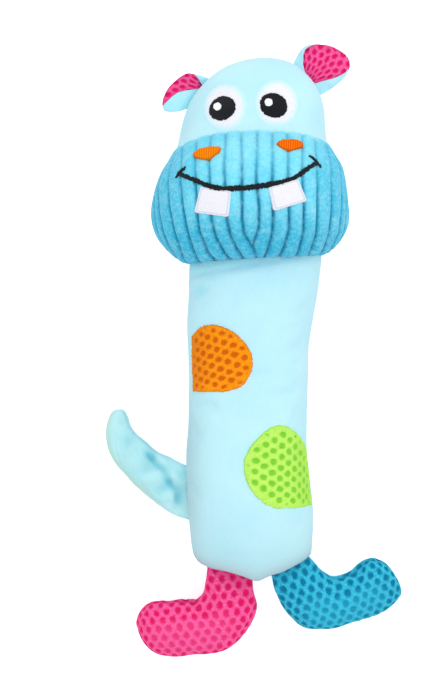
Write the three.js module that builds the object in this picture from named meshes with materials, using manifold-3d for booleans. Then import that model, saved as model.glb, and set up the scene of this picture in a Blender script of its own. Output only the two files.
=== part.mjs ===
import * as THREE from 'three';
import { mergeVertices } from 'three/addons/utils/BufferGeometryUtils.js';
import Module from 'manifold-3d';

// A plush stick toy with a hippo's head, lying on its back. Sizes are in millimetres.
// X runs across the toy, Y from its feet to its head, and Z up through its belly.
// The origin is on the flat of its back, level with the middle of the body.

const wasm = await Module();
wasm.setup();

// Fabrics and clearances
const plushWall = 2;
const corduroyWall = 2.6;
const meshWall = 1.5;
const feltThickness = 0.8;
const clearance = 0.3;
const overrun = 6;

// Height of the side seams over the surface, and how deep the back is pressed flat
const seamHeight = 30.5;
const restFlat = 0.5;

// Body: a tube between its neck seam and its bottom seam
const neckX = 2.4;
const neckY = 86.4;
const neckTilt = THREE.MathUtils.degToRad(3.5);
const bodyWidth = 66;
const bodyLength = 159.5;
const bodyHeight = 31;
const bodySway = 3;
const bottomBow = 14;
// How far the bottom seam drops below its corners: across, drop
const bottomSeamShares = [
  [-1, 0],
  [-0.95, 0.2],
  [-0.8, 0.44],
  [-0.48, 0.62],
  [-0.18, 0.83],
  [0.03, 1],
  [0.36, 0.78],
  [0.65, 0.5],
  [0.88, 0.22],
  [1, 0],
];
const bodySides = 20;
const bodyRoundness = 2.15;
const bodyBackRoundness = 2.5;
// Each row: along, half-width, sway, front height, back depth
const bodyShares = [
  [0, 1.075, 0, 0.97, 0.96],
  [0.1, 1.06, -0.2, 1, 1],
  [0.2, 1.03, -0.8, 1, 1],
  [0.3, 0.99, -1.07, 0.985, 1],
  [0.42, 0.974, -1.1, 0.98, 1],
  [0.55, 0.974, -1.25, 0.98, 1],
  [0.65, 0.99, -1.4, 0.99, 1],
  [0.75, 1.006, -1.07, 1, 1],
  [0.84, 1.02, -0.7, 0.98, 1],
  [0.91, 1.01, -0.55, 0.88, 0.93],
  [0.955, 0.995, -0.5, 0.7, 0.74],
  [0.985, 0.98, -0.4, 0.43, 0.46],
  [1, 0.96, -0.4, 0.05, 0.05],
];

// Head: from the neck seam to the crown, widest at the muzzle
const headLength = 109;
const muzzleWidth = 106;
const muzzleHeight = 62;
const headSway = 2.7;
const headSides = 24;
const headRoundness = 2.3;
const headBackRoundness = 2.7;
const headShares = [
  [0, 0.672, 0, 0.49, 0.96],
  [0.04, 0.797, 0, 0.68, 0.98],
  [0.085, 0.883, -0.2, 0.8, 1],
  [0.15, 0.957, -0.6, 0.905, 1],
  [0.24, 0.982, -0.93, 0.98, 1],
  [0.34, 0.965, -0.9, 1, 1],
  [0.42, 0.923, -0.78, 0.985, 1],
  [0.495, 0.837, -0.8, 0.915, 1],
  [0.555, 0.776, -0.66, 0.78, 1],
  [0.61, 0.75, -0.45, 0.63, 1],
  [0.66, 0.737, -0.3, 0.555, 1],
  [0.735, 0.708, 0, 0.53, 1],
  [0.815, 0.64, 0.25, 0.48, 0.97],
  [0.885, 0.53, 0.45, 0.405, 0.85],
  [0.945, 0.385, 0.6, 0.3, 0.66],
  [0.985, 0.205, 0.65, 0.165, 0.38],
  [1, 0, 0.7, 0, 0],
];
// The seam between muzzle and face: across, along
const muzzleSeamShares = [
  [-1.1, 0.5],
  [-0.86, 0.535],
  [-0.72, 0.56],
  [-0.45, 0.6],
  [-0.2, 0.617],
  [0.1, 0.62],
  [0.4, 0.607],
  [0.66, 0.58],
  [0.82, 0.553],
  [1.1, 0.52],
];

// Eyes, each a white disc with a pupil and a highlight on it, from the neck's middle
const eyeWidth = 22;
const eyeHeight = 23.6;
const leftEye = { x: -16.2, y: 79, turn: 0.06 };
const rightEye = { x: 11.2, y: 80.8, turn: -0.1 };
const pupilWidth = 13.8;
const pupilHeight = 12.6;
const pupilLook = { x: -1.5, y: -0.7 };
const pupilTurn = 0.5;
const eyeSides = 24;
const pupilSides = 18;
const highlightSides = 10;
const highlightWidth = 3.9;
const highlightLook = { x: -2.6, y: 1.3 };

// Nostrils
const nostrilWidth = 14.6;
const nostrilHeight = 7.8;
const nostrilSides = 18;
const leftNostril = { x: -25.2, y: 52.2, turn: 0.1 };
const rightNostril = { x: 16.8, y: 56.4, turn: 0.06 };
// Outline of the nostril: across, up
const nostrilShares = [
  [-1, 0.1],
  [-0.72, 0.75],
  [-0.2, 1],
  [0.4, 0.95],
  [0.9, 0.55],
  [1, 0.05],
  [0.55, -0.55],
  [0, -1],
  [-0.55, -0.6],
];

// Smile, a stitched line across the muzzle: across the muzzle's half-width, along the head
const smileWidth = 2.3;
const smileShares = [
  [-0.755, 0.402],
  [-0.57, 0.346],
  [-0.42, 0.314],
  [-0.285, 0.303],
  [-0.12, 0.307],
  [0.07, 0.32],
  [0.25, 0.34],
  [0.4, 0.373],
  [0.51, 0.414],
  [0.6, 0.452],
];

// Teeth, hung under the smile: corners across, along
const leftToothShares = [
  [-0.528, 0.325],
  [-0.245, 0.297],
  [-0.264, 0.186],
  [-0.594, 0.209],
];
const rightToothShares = [
  [0.123, 0.32],
  [0.415, 0.37],
  [0.492, 0.261],
  [0.162, 0.205],
];

// Ears: where each root starts and ends along the head, its reach, and its thickness
const earSides = 10;
const earLayer = 1.4;
const earCup = 5;
const earRoundness = 2.6;
const earLift = THREE.MathUtils.degToRad(7);
const leftEar = { side: -1, from: 0.755, to: 0.925, reach: 13, width: 13.4 };
const rightEar = { side: 1, from: 0.8, to: 0.95, reach: 22, width: 13.5 };
// How much of the ear's width its lining takes
const liningWidth = 0.86;
// Each row: out along the reach, half-width, drift along the root, thickness
const leftEarShares = [
  [0, 0.9, -0.12, 0.25],
  [0.125, 0.96, -0.25, 0.7],
  [0.25, 1, -0.36, 1],
  [0.37, 0.99, -0.42, 1],
  [0.6, 0.93, -0.51, 1],
  [0.73, 0.86, -0.52, 1],
  [0.85, 0.7, -0.55, 1],
  [0.95, 0.4, -0.59, 1],
  [1, 0, -0.61, 1],
];
const rightEarShares = [
  [0, 0.85, 0.01, 0.25],
  [0.12, 0.935, -0.02, 1],
  [0.25, 0.985, -0.03, 1],
  [0.37, 1, -0.03, 1],
  [0.5, 0.98, -0.01, 1],
  [0.62, 0.9, 0.03, 1],
  [0.74, 0.78, 0.08, 1],
  [0.865, 0.6, 0.13, 1],
  [0.96, 0.33, 0.19, 1],
  [1, 0, 0.23, 1],
];

// How many steps follow a seam along a root
const rootSteps = 8;
const droopSteps = 24;

// Legs: boots of spacer mesh whose roots lie in the bottom seam
const legSides = 12;
const legThickness = 10.5;
const limbRoundness = 2;
const legRootWidth = 26;
const pinkLeg = { from: -0.8, to: 0.03, toe: -1, length: 57.8, reach: 40.2 };
const blueLeg = { from: 0.33, to: 0.97, toe: 1, length: 52.4, reach: 48.3 };
// Each row: towards the toe, down the leg, half-vector to the toe side over it, thickness
const pinkBootShares = [
  [0, 0, 0.5, 0, 0.06],
  [-0.066, 0.135, 0.555, 0, 0.4],
  [-0.095, 0.26, 0.58, 0.01, 0.7],
  [-0.075, 0.385, 0.635, -0.05, 0.89],
  [0.01, 0.51, 0.62, -0.27, 1],
  [0.16, 0.6, 0.615, -0.4, 1],
  [0.385, 0.68, 0.465, -0.51, 1],
  [0.6, 0.74, 0.315, -0.59, 0.96],
  [0.765, 0.785, 0.26, -0.56, 0.84],
  [0.9, 0.825, 0.18, -0.35, 0.56],
  [1, 0.815, 0, 0, 0],
];
const blueBootShares = [
  [0, 0, 0.5, 0, 0.06],
  [0.004, 0.12, 0.51, -0.055, 0.34],
  [0.006, 0.245, 0.53, -0.16, 0.62],
  [0.03, 0.39, 0.545, -0.28, 0.86],
  [0.09, 0.52, 0.53, -0.365, 1],
  [0.22, 0.605, 0.455, -0.44, 1],
  [0.395, 0.65, 0.38, -0.515, 1],
  [0.58, 0.66, 0.32, -0.62, 0.96],
  [0.78, 0.69, 0.19, -0.64, 0.84],
  [0.915, 0.745, 0.11, -0.48, 0.56],
  [1, 0.87, 0, 0, 0],
];

// Tail: a crescent whose root lies in the left side seam
const tailSides = 12;
const tailDroop = THREE.MathUtils.degToRad(24);
const tailRootWidth = 30;
const tailReach = 43;
const tailRise = 42;
const tailThickness = 9;
const tailFrom = 0.69;
const tailTo = 0.885;
// Each row: up along the side, out from it, half-vector along and out, thickness
const tailShares = [
  [0, 0, 0.5, 0, 0.07],
  [0.083, 0.152, 0.53, 0, 0.42],
  [0.205, 0.374, 0.505, 0.02, 0.84],
  [0.37, 0.576, 0.47, -0.03, 1],
  [0.53, 0.745, 0.4, -0.087, 0.98],
  [0.68, 0.85, 0.335, -0.147, 0.92],
  [0.825, 0.913, 0.26, -0.18, 0.8],
  [0.955, 0.947, 0.165, -0.165, 0.55],
  [1.055, 0.975, 0, 0, 0],
];

// Patches: discs cut off by a side seam, along the body and in from the seam
const orangePatch = { side: -1, along: 0.336, reach: 32.7, height: 35.3 };
const greenPatch = { side: 1, along: 0.689, reach: 34.2, height: 43.7 };
const patchInset = 1.4;
const orangePatchShares = [
  [0, 0.34],
  [0.13, 0.46],
  [0.29, 0.505],
  [0.5, 0.475],
  [0.74, 0.355],
  [0.9, 0.19],
  [0.985, -0.015],
  [0.94, -0.22],
  [0.8, -0.4],
  [0.58, -0.48],
  [0.32, -0.49],
  [0, -0.49],
];
const greenPatchShares = [
  [0, 0.2],
  [0.1, 0.345],
  [0.2, 0.425],
  [0.31, 0.48],
  [0.43, 0.497],
  [0.55, 0.47],
  [0.67, 0.4],
  [0.81, 0.29],
  [0.91, 0.18],
  [0.985, 0.02],
  [0.98, -0.115],
  [0.935, -0.25],
  [0.84, -0.37],
  [0.71, -0.465],
  [0.58, -0.507],
  [0.4, -0.515],
  [0.2, -0.515],
  [0, -0.5],
];

// Squeakers: a hollow bulb with a reed plug in its mouth
const bulbWall = 1.2;
const mouthRadius = 4;
const collarHeight = 4;
const reedBore = 1.3;
const reedFlange = 1.2;
const bulbTurns = 14;
const bodyBulb = { radius: 20, height: 27, along: 0.55, across: 0, base: -20 };
const headBulb = { radius: 23, height: 32, along: 0.27, across: -2, base: -14 };
const bulbShares = [
  [0.55, 0.02],
  [0.86, 0.14],
  [1, 0.38],
  [0.97, 0.62],
  [0.8, 0.85],
  [0.46, 0.97],
];

// Colours as seen under plain light
const colours = {
  plush: 0xc3f2fc,
  corduroy: 0x5cc3e3,
  orange: 0xf18910,
  green: 0xb4e96a,
  pink: 0xf0508f,
  teal: 0x1f9dbd,
  white: 0xf4f6f8,
  ink: 0x14141c,
  nostril: 0xf68f02,
  fibre: 0xfafafa,
  bulb: 0xf2f2ee,
  reed: 0xe8e6dc,
};

const toy = new THREE.Group();
const up = new THREE.Vector3(0, 0, 1);

const materialOf = (colour, roughness = 0.95) =>
  new THREE.MeshStandardMaterial({ color: colours[colour], roughness, metalness: 0 });

// Turns indexed points into a manifold solid.
const solidFrom = (points, triangles) =>
  new wasm.Manifold(
    new wasm.Mesh({
      numProp: 3,
      vertProperties: new Float32Array(points),
      triVerts: new Uint32Array(triangles),
    }),
  );

const solidOf = (geometry) => {
  const bare = geometry.clone();
  bare.deleteAttribute('normal');
  bare.deleteAttribute('uv');
  const merged = mergeVertices(bare);
  return solidFrom(merged.attributes.position.array, merged.index.array);
};

// Adds a solid to a group as a named mesh.
const place = (group, name, solid, material) => {
  const { numProp, vertProperties, triVerts } = solid.getMesh();
  const geometry = new THREE.BufferGeometry();
  const positions = new Float32Array((vertProperties.length / numProp) * 3);
  for (let i = 0; i < positions.length / 3; i += 1) {
    positions.set(vertProperties.subarray(i * numProp, i * numProp + 3), i * 3);
  }
  geometry.setAttribute('position', new THREE.BufferAttribute(positions, 3));
  geometry.setIndex([...triVerts]);
  geometry.computeVertexNormals();
  const mesh = new THREE.Mesh(geometry, material);
  mesh.name = name;
  group.add(mesh);
  return mesh;
};

const power = (value, roundness) => Math.sign(value) * Math.abs(value) ** (2 / roundness);

// The value at a place in a table of [place, value] rows
const valueAt = (rows, at) => {
  const i = Math.max(1, rows.findIndex(([place]) => place >= at));
  const [a, low] = rows[i - 1];
  const [b, high] = rows[i];
  return low + ((high - low) * (at - a)) / (b - a);
};

// The seam point of a ring: across runs from -1 to 1 along its half-vector.
const seamPoint = (ring, across) => {
  const drop = ring.bow ? ring.bow * valueAt(bottomSeamShares, across) : 0;
  return ring.centre.clone().addScaledVector(ring.half, across).setY(
    ring.centre.y + ring.half.y * across - drop,
  );
};

// The points of one ring, round from one side through the front to the back.
const ringPoints = (ring, sides) => {
  const points = [];
  for (let k = 0; k < sides; k += 1) {
    const angle = (2 * Math.PI * k) / sides;
    const isFront = Math.sin(angle) > 0;
    const roundness = isFront ? ring.roundness : ring.backRoundness ?? ring.roundness;
    const across = power(Math.cos(angle), roundness);
    const height = power(Math.sin(angle), roundness) * (isFront ? ring.front : ring.back);
    const point = seamPoint(ring, across);
    point.addScaledVector(up, height + (ring.cup ?? 0) * across * across);
    points.push(point);
  }
  return points;
};

// Skins a row of rings. A ring with no width is a tip, and the other ends are flat.
const skin = (rings, sides) => {
  const points = [];
  const triangles = [];
  const rows = rings.map((ring) => {
    const isTip = ring.half.length() === 0;
    const row = isTip ? [ring.centre] : ringPoints(ring, sides);
    const start = points.length / 3;
    row.forEach((p) => points.push(p.x, p.y, p.z));
    return { start, isTip };
  });
  const step = rings[1].centre.clone().sub(rings[0].centre);
  const turn = rings[0].half.clone().cross(up).dot(step) > 0;
  const face = (a, b, c) => triangles.push(...(turn ? [a, b, c] : [a, c, b]));
  for (let i = 0; i + 1 < rows.length; i += 1) {
    for (let k = 0; k < sides; k += 1) {
      const next = (k + 1) % sides;
      const near = rows[i].start;
      const far = rows[i + 1].start;
      if (rows[i + 1].isTip) {
        face(near + k, near + next, far);
      } else {
        face(near + k, near + next, far + next);
        face(near + k, far + next, far + k);
      }
    }
  }
  closeEnd(points, face, rings[0], rows[0], sides, false);
  closeEnd(points, face, rings.at(-1), rows.at(-1), sides, true);
  return solidFrom(points, triangles);
};

const closeEnd = (points, face, ring, row, sides, isLast) => {
  if (row.isTip) {
    return;
  }
  const hub = points.length / 3;
  const middle = seamPoint(ring, 0);
  points.push(middle.x, middle.y, middle.z);
  for (let k = 0; k < sides; k += 1) {
    const next = (k + 1) % sides;
    if (isLast) {
      face(row.start + k, row.start + next, hub);
    } else {
      face(row.start + next, row.start + k, hub);
    }
  }
};

// Draws a size in by a wall, and by less where the form is thinner than a few walls.
const drawnIn = (size, by) => {
  const thin = Math.abs(by) * 3;
  return size > thin ? size - by : size * (1 - by / thin);
};

// The centre at a distance along a row of rings, also a little past its ends.
const centreAt = (rings, distance) => {
  let left = distance;
  for (let i = 0; i + 1 < rings.length; i += 1) {
    const a = rings[i].centre;
    const b = rings[i + 1].centre;
    const gap = a.distanceTo(b);
    if (left <= gap || i + 2 === rings.length) {
      return a.clone().lerp(b, left / gap);
    }
    left -= gap;
  }
  return rings[0].centre.clone();
};

// The same form inside a wall, or outside it where the wall is below zero.
// Its start can stay open, and then it runs past the form's end.
const inside = (rings, by, isOpen = false) => {
  const at = [0];
  rings.slice(1).forEach((ring, i) => at.push(at[i] + ring.centre.distanceTo(rings[i].centre)));
  const total = at.at(-1);
  const first = isOpen ? 0 : by;
  const inner = rings.map((ring, i) => {
    const span = ring.half.length();
    const half = ring.half.clone();
    if (span > 0) {
      half.multiplyScalar(drawnIn(span, by) / span);
    }
    return {
      ...ring,
      centre: centreAt(rings, first + ((total - by - first) * at[i]) / total),
      half,
      front: drawnIn(ring.front, by),
      back: drawnIn(ring.back, by),
    };
  });
  if (isOpen) {
    const away = inner[0].centre.clone().sub(inner[1].centre).setLength(overrun);
    inner.unshift({ ...inner[0], centre: inner[0].centre.clone().add(away) });
  }
  return inner;
};

const box = (width, length, height, x, y, z) =>
  solidOf(new THREE.BoxGeometry(width, length, height).translate(x, y, z));

const room = bodyLength + headLength;
const halfSpace = (level, isAbove) =>
  box(room * 2, room * 2, room, 0, 0, level + (isAbove ? room / 2 : -room / 2));
const aboveFloor = halfSpace(-seamHeight, true);
const frontHalf = halfSpace(clearance / 2, true);
const backHalf = halfSpace(-clearance / 2, false);

// A prism from the seam plane towards the front, from an outline.
const prism = (outline) => {
  const shape = new THREE.Shape(outline.map(([x, y]) => new THREE.Vector2(x, y)));
  return solidOf(new THREE.ExtrudeGeometry(shape, { depth: room, bevelEnabled: false }));
};

// A smooth outline through a few points, closed all round or by a straight line.
const smooth = (outline, count, isClosed = true) => {
  const points = outline.map(([x, y]) => new THREE.Vector3(x, y, 0));
  const curve = new THREE.CatmullRomCurve3(points, isClosed);
  return curve
    .getSpacedPoints(count)
    .slice(0, isClosed ? -1 : undefined)
    .map(({ x, y }) => [x, y]);
};

const oval = (width, height, { x, y, turn = 0 }, count) => {
  const outline = [];
  for (let k = 0; k < count; k += 1) {
    const angle = (2 * Math.PI * k) / count;
    const across = (Math.cos(angle) * width) / 2;
    const rise = (Math.sin(angle) * height) / 2;
    outline.push([
      x + across * Math.cos(turn) - rise * Math.sin(turn),
      y + across * Math.sin(turn) + rise * Math.cos(turn),
    ]);
  }
  return outline;
};

// A thin piece that follows a form's front at a height over it, cut to an outline.
const applied = (rings, sides, outline, level) => {
  const outer = skin(inside(rings, -level - feltThickness, true), sides);
  const inner = skin(inside(rings, -level, true), sides);
  return outer.subtract(inner).intersect(prism(outline)).intersect(frontHalf);
};

// Body
const bodyRings = bodyShares.map(([along, width, sway, front, back]) => {
  const half = (bodyWidth / 2) * width;
  return {
    centre: new THREE.Vector3(sway * bodySway, -along * bodyLength, 0),
    half: new THREE.Vector3(half, half * Math.tan(neckTilt) * (1 - along), 0),
    front: bodyHeight * front,
    back: (seamHeight + restFlat) * back,
    bow: bottomBow * Math.max(0, along * 2 - 1),
    roundness: bodyRoundness,
    backRoundness: bodyBackRoundness,
  };
});
const torso = new THREE.Group();
torso.position.set(neckX, neckY, seamHeight);
toy.add(torso);

// Pulls a form's first ring back from the neck seam by half the clearance.
const offNeck = (rings, towards) => {
  const [first, ...rest] = rings;
  const centre = first.centre.clone();
  centre.y += (towards * clearance) / 2;
  return [{ ...first, centre }, ...rest];
};

const bodyOuter = skin(offNeck(bodyRings, -1), bodySides).intersect(aboveFloor);
const bodyShell = bodyOuter.subtract(skin(inside(bodyRings, plushWall, true), bodySides));
place(torso, 'body_front_panel', bodyShell.intersect(frontHalf), materialOf('plush'));
place(torso, 'body_back_panel', bodyShell.intersect(backHalf), materialOf('plush'));

// The seam point at a share along a form, on one side of it
const sideAt = (rings, along, length, side) => {
  const y = Math.sign(rings.at(-1).centre.y) * along * length;
  const past = rings.findIndex((ring) => Math.abs(ring.centre.y) >= Math.abs(y));
  const i = past < 1 ? rings.length - 1 : past;
  const a = rings[i - 1];
  const b = rings[i];
  const t = (y - a.centre.y) / (b.centre.y - a.centre.y);
  return seamPoint(a, side).lerp(seamPoint(b, side), t);
};

// The outline of a patch: each point lies in from the side seam at its own height.
const patchOutline = (patch, shares) => {
  const points = shares.map(([inward, rise]) => {
    const along = patch.along - (rise * patch.height) / bodyLength;
    const seam = sideAt(bodyRings, along, bodyLength, patch.side);
    return [seam.x - patch.side * (patchInset + inward * patch.reach), -along * bodyLength];
  });
  return smooth(points, shares.length * 2, false);
};
const addPatch = (name, patch, shares, colour) => {
  const outline = patchOutline(patch, shares);
  place(torso, name, applied(bodyRings, bodySides, outline, clearance), materialOf(colour));
};
addPatch('orange_patch', orangePatch, orangePatchShares, 'orange');
addPatch('green_patch', greenPatch, greenPatchShares, 'green');

// A turned solid about Z from a profile of [radius, height]
const turned = (profile) =>
  solidOf(
    new THREE.LatheGeometry(profile.map(([r, z]) => new THREE.Vector2(r, z)), bulbTurns).rotateX(
      Math.PI / 2,
    ),
  );

// The profile of a bulb grown by a size, from its mouth up to its crown
const bulbProfile = (bulb, grow) => [
  ...bulbShares.map(([r, z]) => [
    bulb.radius * r + grow,
    collarHeight + bulb.height * z + grow * (2 * z - 1),
  ]),
  [0, collarHeight + bulb.height + grow],
];

const bulbSolid = (bulb) => {
  const outer = bulbProfile(bulb, 0);
  const inner = bulbProfile(bulb, -bulbWall).reverse();
  return turned([
    ...inner,
    [mouthRadius, collarHeight + bulbWall],
    [mouthRadius, 0],
    [mouthRadius + bulbWall, 0],
    [mouthRadius + bulbWall, collarHeight - bulbWall],
    ...outer,
  ]);
};

const reedSolid = () => {
  const rim = mouthRadius + bulbWall;
  const plug = mouthRadius - clearance;
  return turned([
    [reedBore, -clearance - reedFlange],
    [rim, -clearance - reedFlange],
    [rim, -clearance],
    [plug, -clearance],
    [plug, collarHeight],
    [reedBore, collarHeight],
    [reedBore, -clearance - reedFlange],
  ]);
};

// The room that a bulb and its reed take up, open to the back
const bulbPocket = (bulb) => {
  const channel = mouthRadius + bulbWall + clearance;
  return turned([
    [0, -seamHeight],
    [channel, -seamHeight],
    [channel, collarHeight - bulbWall - clearance],
    ...bulbProfile(bulb, clearance),
  ]);
};

const addStuffing = (group, rings, sides, wall, bulb, prefix) => {
  const y = rings[0].centre.y + Math.sign(rings.at(-1).centre.y) * bulb.along * bulb.length;
  const at = [bulb.across, y, bulb.base];
  const stuffing = skin(inside(rings, wall + clearance, true), sides);
  const trimmed = stuffing.intersect(aboveFloor).intersect(bulb.side);
  place(
    group,
    `${prefix}_filling`,
    trimmed.subtract(bulbPocket(bulb).translate(at)),
    materialOf('fibre', 1),
  );
  place(group, `${prefix}_squeaker`, bulbSolid(bulb).translate(at), materialOf('bulb', 0.5));
  place(group, `${prefix}_squeaker_reed`, reedSolid().translate(at), materialOf('reed', 0.5));
};

// One side of the neck seam, half the clearance away from it
const neckSide = (towards) =>
  solidOf(
    new THREE.BoxGeometry(room, room, room)
      .translate(0, (towards * (room + clearance)) / 2, 0)
      .rotateZ(neckTilt),
  );
addStuffing(
  torso,
  bodyRings,
  bodySides,
  plushWall,
  { ...bodyBulb, length: bodyLength, side: neckSide(-1) },
  'body',
);

// Head
const headRings = headShares.map(([along, width, sway, front, back]) => {
  const half = (muzzleWidth / 2) * width;
  return {
    centre: new THREE.Vector3(sway * headSway, along * headLength, 0),
    half: new THREE.Vector3(half, half * Math.tan(neckTilt), 0),
    front: muzzleHeight * front,
    back: (seamHeight + restFlat) * back,
    roundness: headRoundness,
    backRoundness: headBackRoundness,
  };
});
const head = new THREE.Group();
head.position.set(neckX, neckY, seamHeight);
toy.add(head);

const headShell = (wall) =>
  skin(offNeck(headRings, 1), headSides)
    .intersect(aboveFloor)
    .subtract(skin(inside(headRings, wall, true), headSides));
const plushHead = headShell(plushWall);
const muzzleHalf = muzzleWidth / 2;
const headPoint = ([across, along]) => [across * muzzleHalf, along * headLength];
// The muzzle's side of its seam, moved along the head by a size
const muzzleRegion = (shift) => {
  const seam = new THREE.CatmullRomCurve3(
    muzzleSeamShares.map((share) => new THREE.Vector3(...headPoint(share), 0)),
  ).getPoints(muzzleSeamShares.length * 2);
  const left = seam[0].x;
  const right = seam.at(-1).x;
  return prism([
    ...seam.map(({ x, y }) => [x, y + shift]).reverse(),
    [left, -overrun],
    [right, -overrun],
  ]);
};
place(
  head,
  'face_panel',
  plushHead.intersect(frontHalf).subtract(muzzleRegion(clearance / 2)),
  materialOf('plush'),
);
place(
  head,
  'muzzle_panel',
  headShell(corduroyWall).intersect(frontHalf).intersect(muzzleRegion(-clearance / 2)),
  materialOf('corduroy'),
);
place(head, 'head_back_panel', plushHead.intersect(backHalf), materialOf('plush'));
addStuffing(
  head,
  headRings,
  headSides,
  corduroyWall,
  { ...headBulb, length: headLength, side: neckSide(1) },
  'head',
);

// Face details, in layers over the head
const addDetail = (name, outline, level, colour) =>
  place(head, name, applied(headRings, headSides, outline, level), materialOf(colour, 0.8));
const layerStep = feltThickness + clearance;
const addEye = (name, eye) => {
  const pupil = { x: eye.x + pupilLook.x, y: eye.y + pupilLook.y, turn: pupilTurn };
  const light = { x: pupil.x + highlightLook.x, y: pupil.y + highlightLook.y };
  addDetail(`${name}_eye_white`, oval(eyeWidth, eyeHeight, eye, eyeSides), clearance, 'white');
  addDetail(
    `${name}_pupil`,
    oval(pupilWidth, pupilHeight, pupil, pupilSides),
    clearance + layerStep,
    'ink',
  );
  addDetail(
    `${name}_highlight`,
    oval(highlightWidth, highlightWidth, light, highlightSides),
    clearance + layerStep * 2,
    'white',
  );
};
addEye('left', leftEye);
addEye('right', rightEye);

const nostrilOutline = ({ x, y, turn }) =>
  nostrilShares.map(([across, rise]) => {
    const a = (across * nostrilWidth) / 2;
    const b = (rise * nostrilHeight) / 2;
    return [x + a * Math.cos(turn) - b * Math.sin(turn), y + a * Math.sin(turn) + b * Math.cos(turn)];
  });
addDetail('left_nostril', smooth(nostrilOutline(leftNostril), nostrilSides), clearance, 'nostril');
addDetail('right_nostril', smooth(nostrilOutline(rightNostril), nostrilSides), clearance, 'nostril');

// The smile's line as a band of a width
const smileOutline = (width) => {
  const curve = new THREE.CatmullRomCurve3(
    smileShares.map((share) => new THREE.Vector3(...headPoint(share), 0)),
  );
  const count = smileShares.length * 2;
  const edge = (side) => {
    const row = [];
    for (let k = 0; k <= count; k += 1) {
      const point = curve.getPoint(k / count);
      const ahead = curve.getTangent(k / count);
      row.push([point.x - (side * ahead.y * width) / 2, point.y + (side * ahead.x * width) / 2]);
    }
    return row;
  };
  return [...edge(1), ...edge(-1).reverse()];
};
addDetail('smile', smileOutline(smileWidth), clearance, 'ink');
const smileRoom = prism(smileOutline(smileWidth + clearance * 2));
const addTooth = (name, shares) =>
  place(
    head,
    name,
    applied(headRings, headSides, shares.map(headPoint), clearance).subtract(smileRoom),
    materialOf('white', 0.8),
  );
addTooth('left_tooth', leftToothShares);
addTooth('right_tooth', rightToothShares);

// A flat frame on a stretch of seam: X runs along its chord from the first point to the last.
// It lies on the outer side of the seam, off its bulge, with room for a root of a thickness.
const rootFrame = (parent, seam, side, droop, rootThickness) => {
  const a = seam[0];
  const b = seam.at(-1);
  const along = b.clone().sub(a).normalize();
  const outward = new THREE.Vector3(-along.y, along.x, 0).multiplyScalar(side);
  const bulge = Math.max(...seam.map((point) => point.clone().sub(a).dot(outward)));
  const turned = new THREE.Group();
  turned.position.copy(a).add(b).multiplyScalar(0.5);
  turned.rotation.z = Math.atan2(along.y, along.x);
  const limb = new THREE.Group();
  limb.position.y = side * (bulge + rootThickness / 2 + clearance);
  limb.rotation.x = droop;
  turned.add(limb);
  parent.add(turned);
  return limb;
};

// Points spread over a stretch
const spread = (from, to, at) =>
  Array.from({ length: rootSteps + 1 }, (_, k) => at(from + ((to - from) * k) / rootSteps));

// A stuffed limb of two panels and a filling, in its flat frame
const addLimb = (group, prefix, rings, sides, wall, colour) => {
  const shell = skin(rings, sides).subtract(skin(inside(rings, wall), sides));
  const filling = skin(inside(rings, wall + clearance), sides);
  place(group, `${prefix}_front_panel`, shell.intersect(frontHalf), materialOf(colour));
  place(group, `${prefix}_back_panel`, shell.intersect(backHalf), materialOf(colour));
  place(group, `${prefix}_filling`, filling, materialOf('fibre', 1));
};

// How far a limb droops from its root until it rests on the surface
const restDroop = (rings, sides) => {
  const points = rings.flatMap((ring) => ringPoints(ring, sides));
  const lowest = (angle) =>
    Math.min(...points.map(({ y, z }) => z * Math.cos(angle) - Math.abs(y) * Math.sin(angle)));
  let [low, high] = [0, Math.PI / 3];
  for (let i = 0; i < droopSteps; i += 1) {
    const angle = (low + high) / 2;
    if (lowest(angle) > clearance - seamHeight) {
      low = angle;
    } else {
      high = angle;
    }
  }
  return low;
};

// The legs' frames have Y towards the body, so the legs run along -Y and droop below it.
const bootRings = (leg, shares) =>
  shares.map(([towards, down, halfX, halfY, thickness]) => ({
    centre: new THREE.Vector3(leg.toe * towards * leg.reach, -down * leg.length, 0),
    half: new THREE.Vector3(halfX * legRootWidth, leg.toe * -halfY * legRootWidth, 0),
    front: thickness * legThickness,
    back: thickness * legThickness,
    roundness: limbRoundness,
  }));
const bottomRing = bodyRings.at(-1);
const addLeg = (prefix, leg, shares, colour) => {
  const seam = spread(leg.from, leg.to, (across) => seamPoint(bottomRing, across));
  const rings = bootRings(leg, shares);
  const frame = rootFrame(torso, seam, -1, restDroop(rings, legSides), 2 * rings[0].front);
  addLimb(frame, prefix, rings, legSides, meshWall, colour);
};
addLeg('pink_leg', pinkLeg, pinkBootShares, 'pink');
addLeg('blue_leg', blueLeg, blueBootShares, 'teal');

const tailRings = tailShares.map(([rise, out, halfAlong, halfOut, thickness]) => ({
  centre: new THREE.Vector3(rise * tailRise, out * tailReach, 0),
  half: new THREE.Vector3(halfAlong * tailRootWidth, halfOut * tailRootWidth, 0),
  front: thickness * tailThickness,
  back: thickness * tailThickness,
  roundness: limbRoundness,
}));
const tailSeam = spread(tailTo, tailFrom, (along) => sideAt(bodyRings, along, bodyLength, -1));
const tailFrame = rootFrame(torso, tailSeam, 1, -tailDroop, 2 * tailRings[0].front);
addLimb(tailFrame, 'tail', tailRings, tailSides, plushWall, 'plush');

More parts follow.
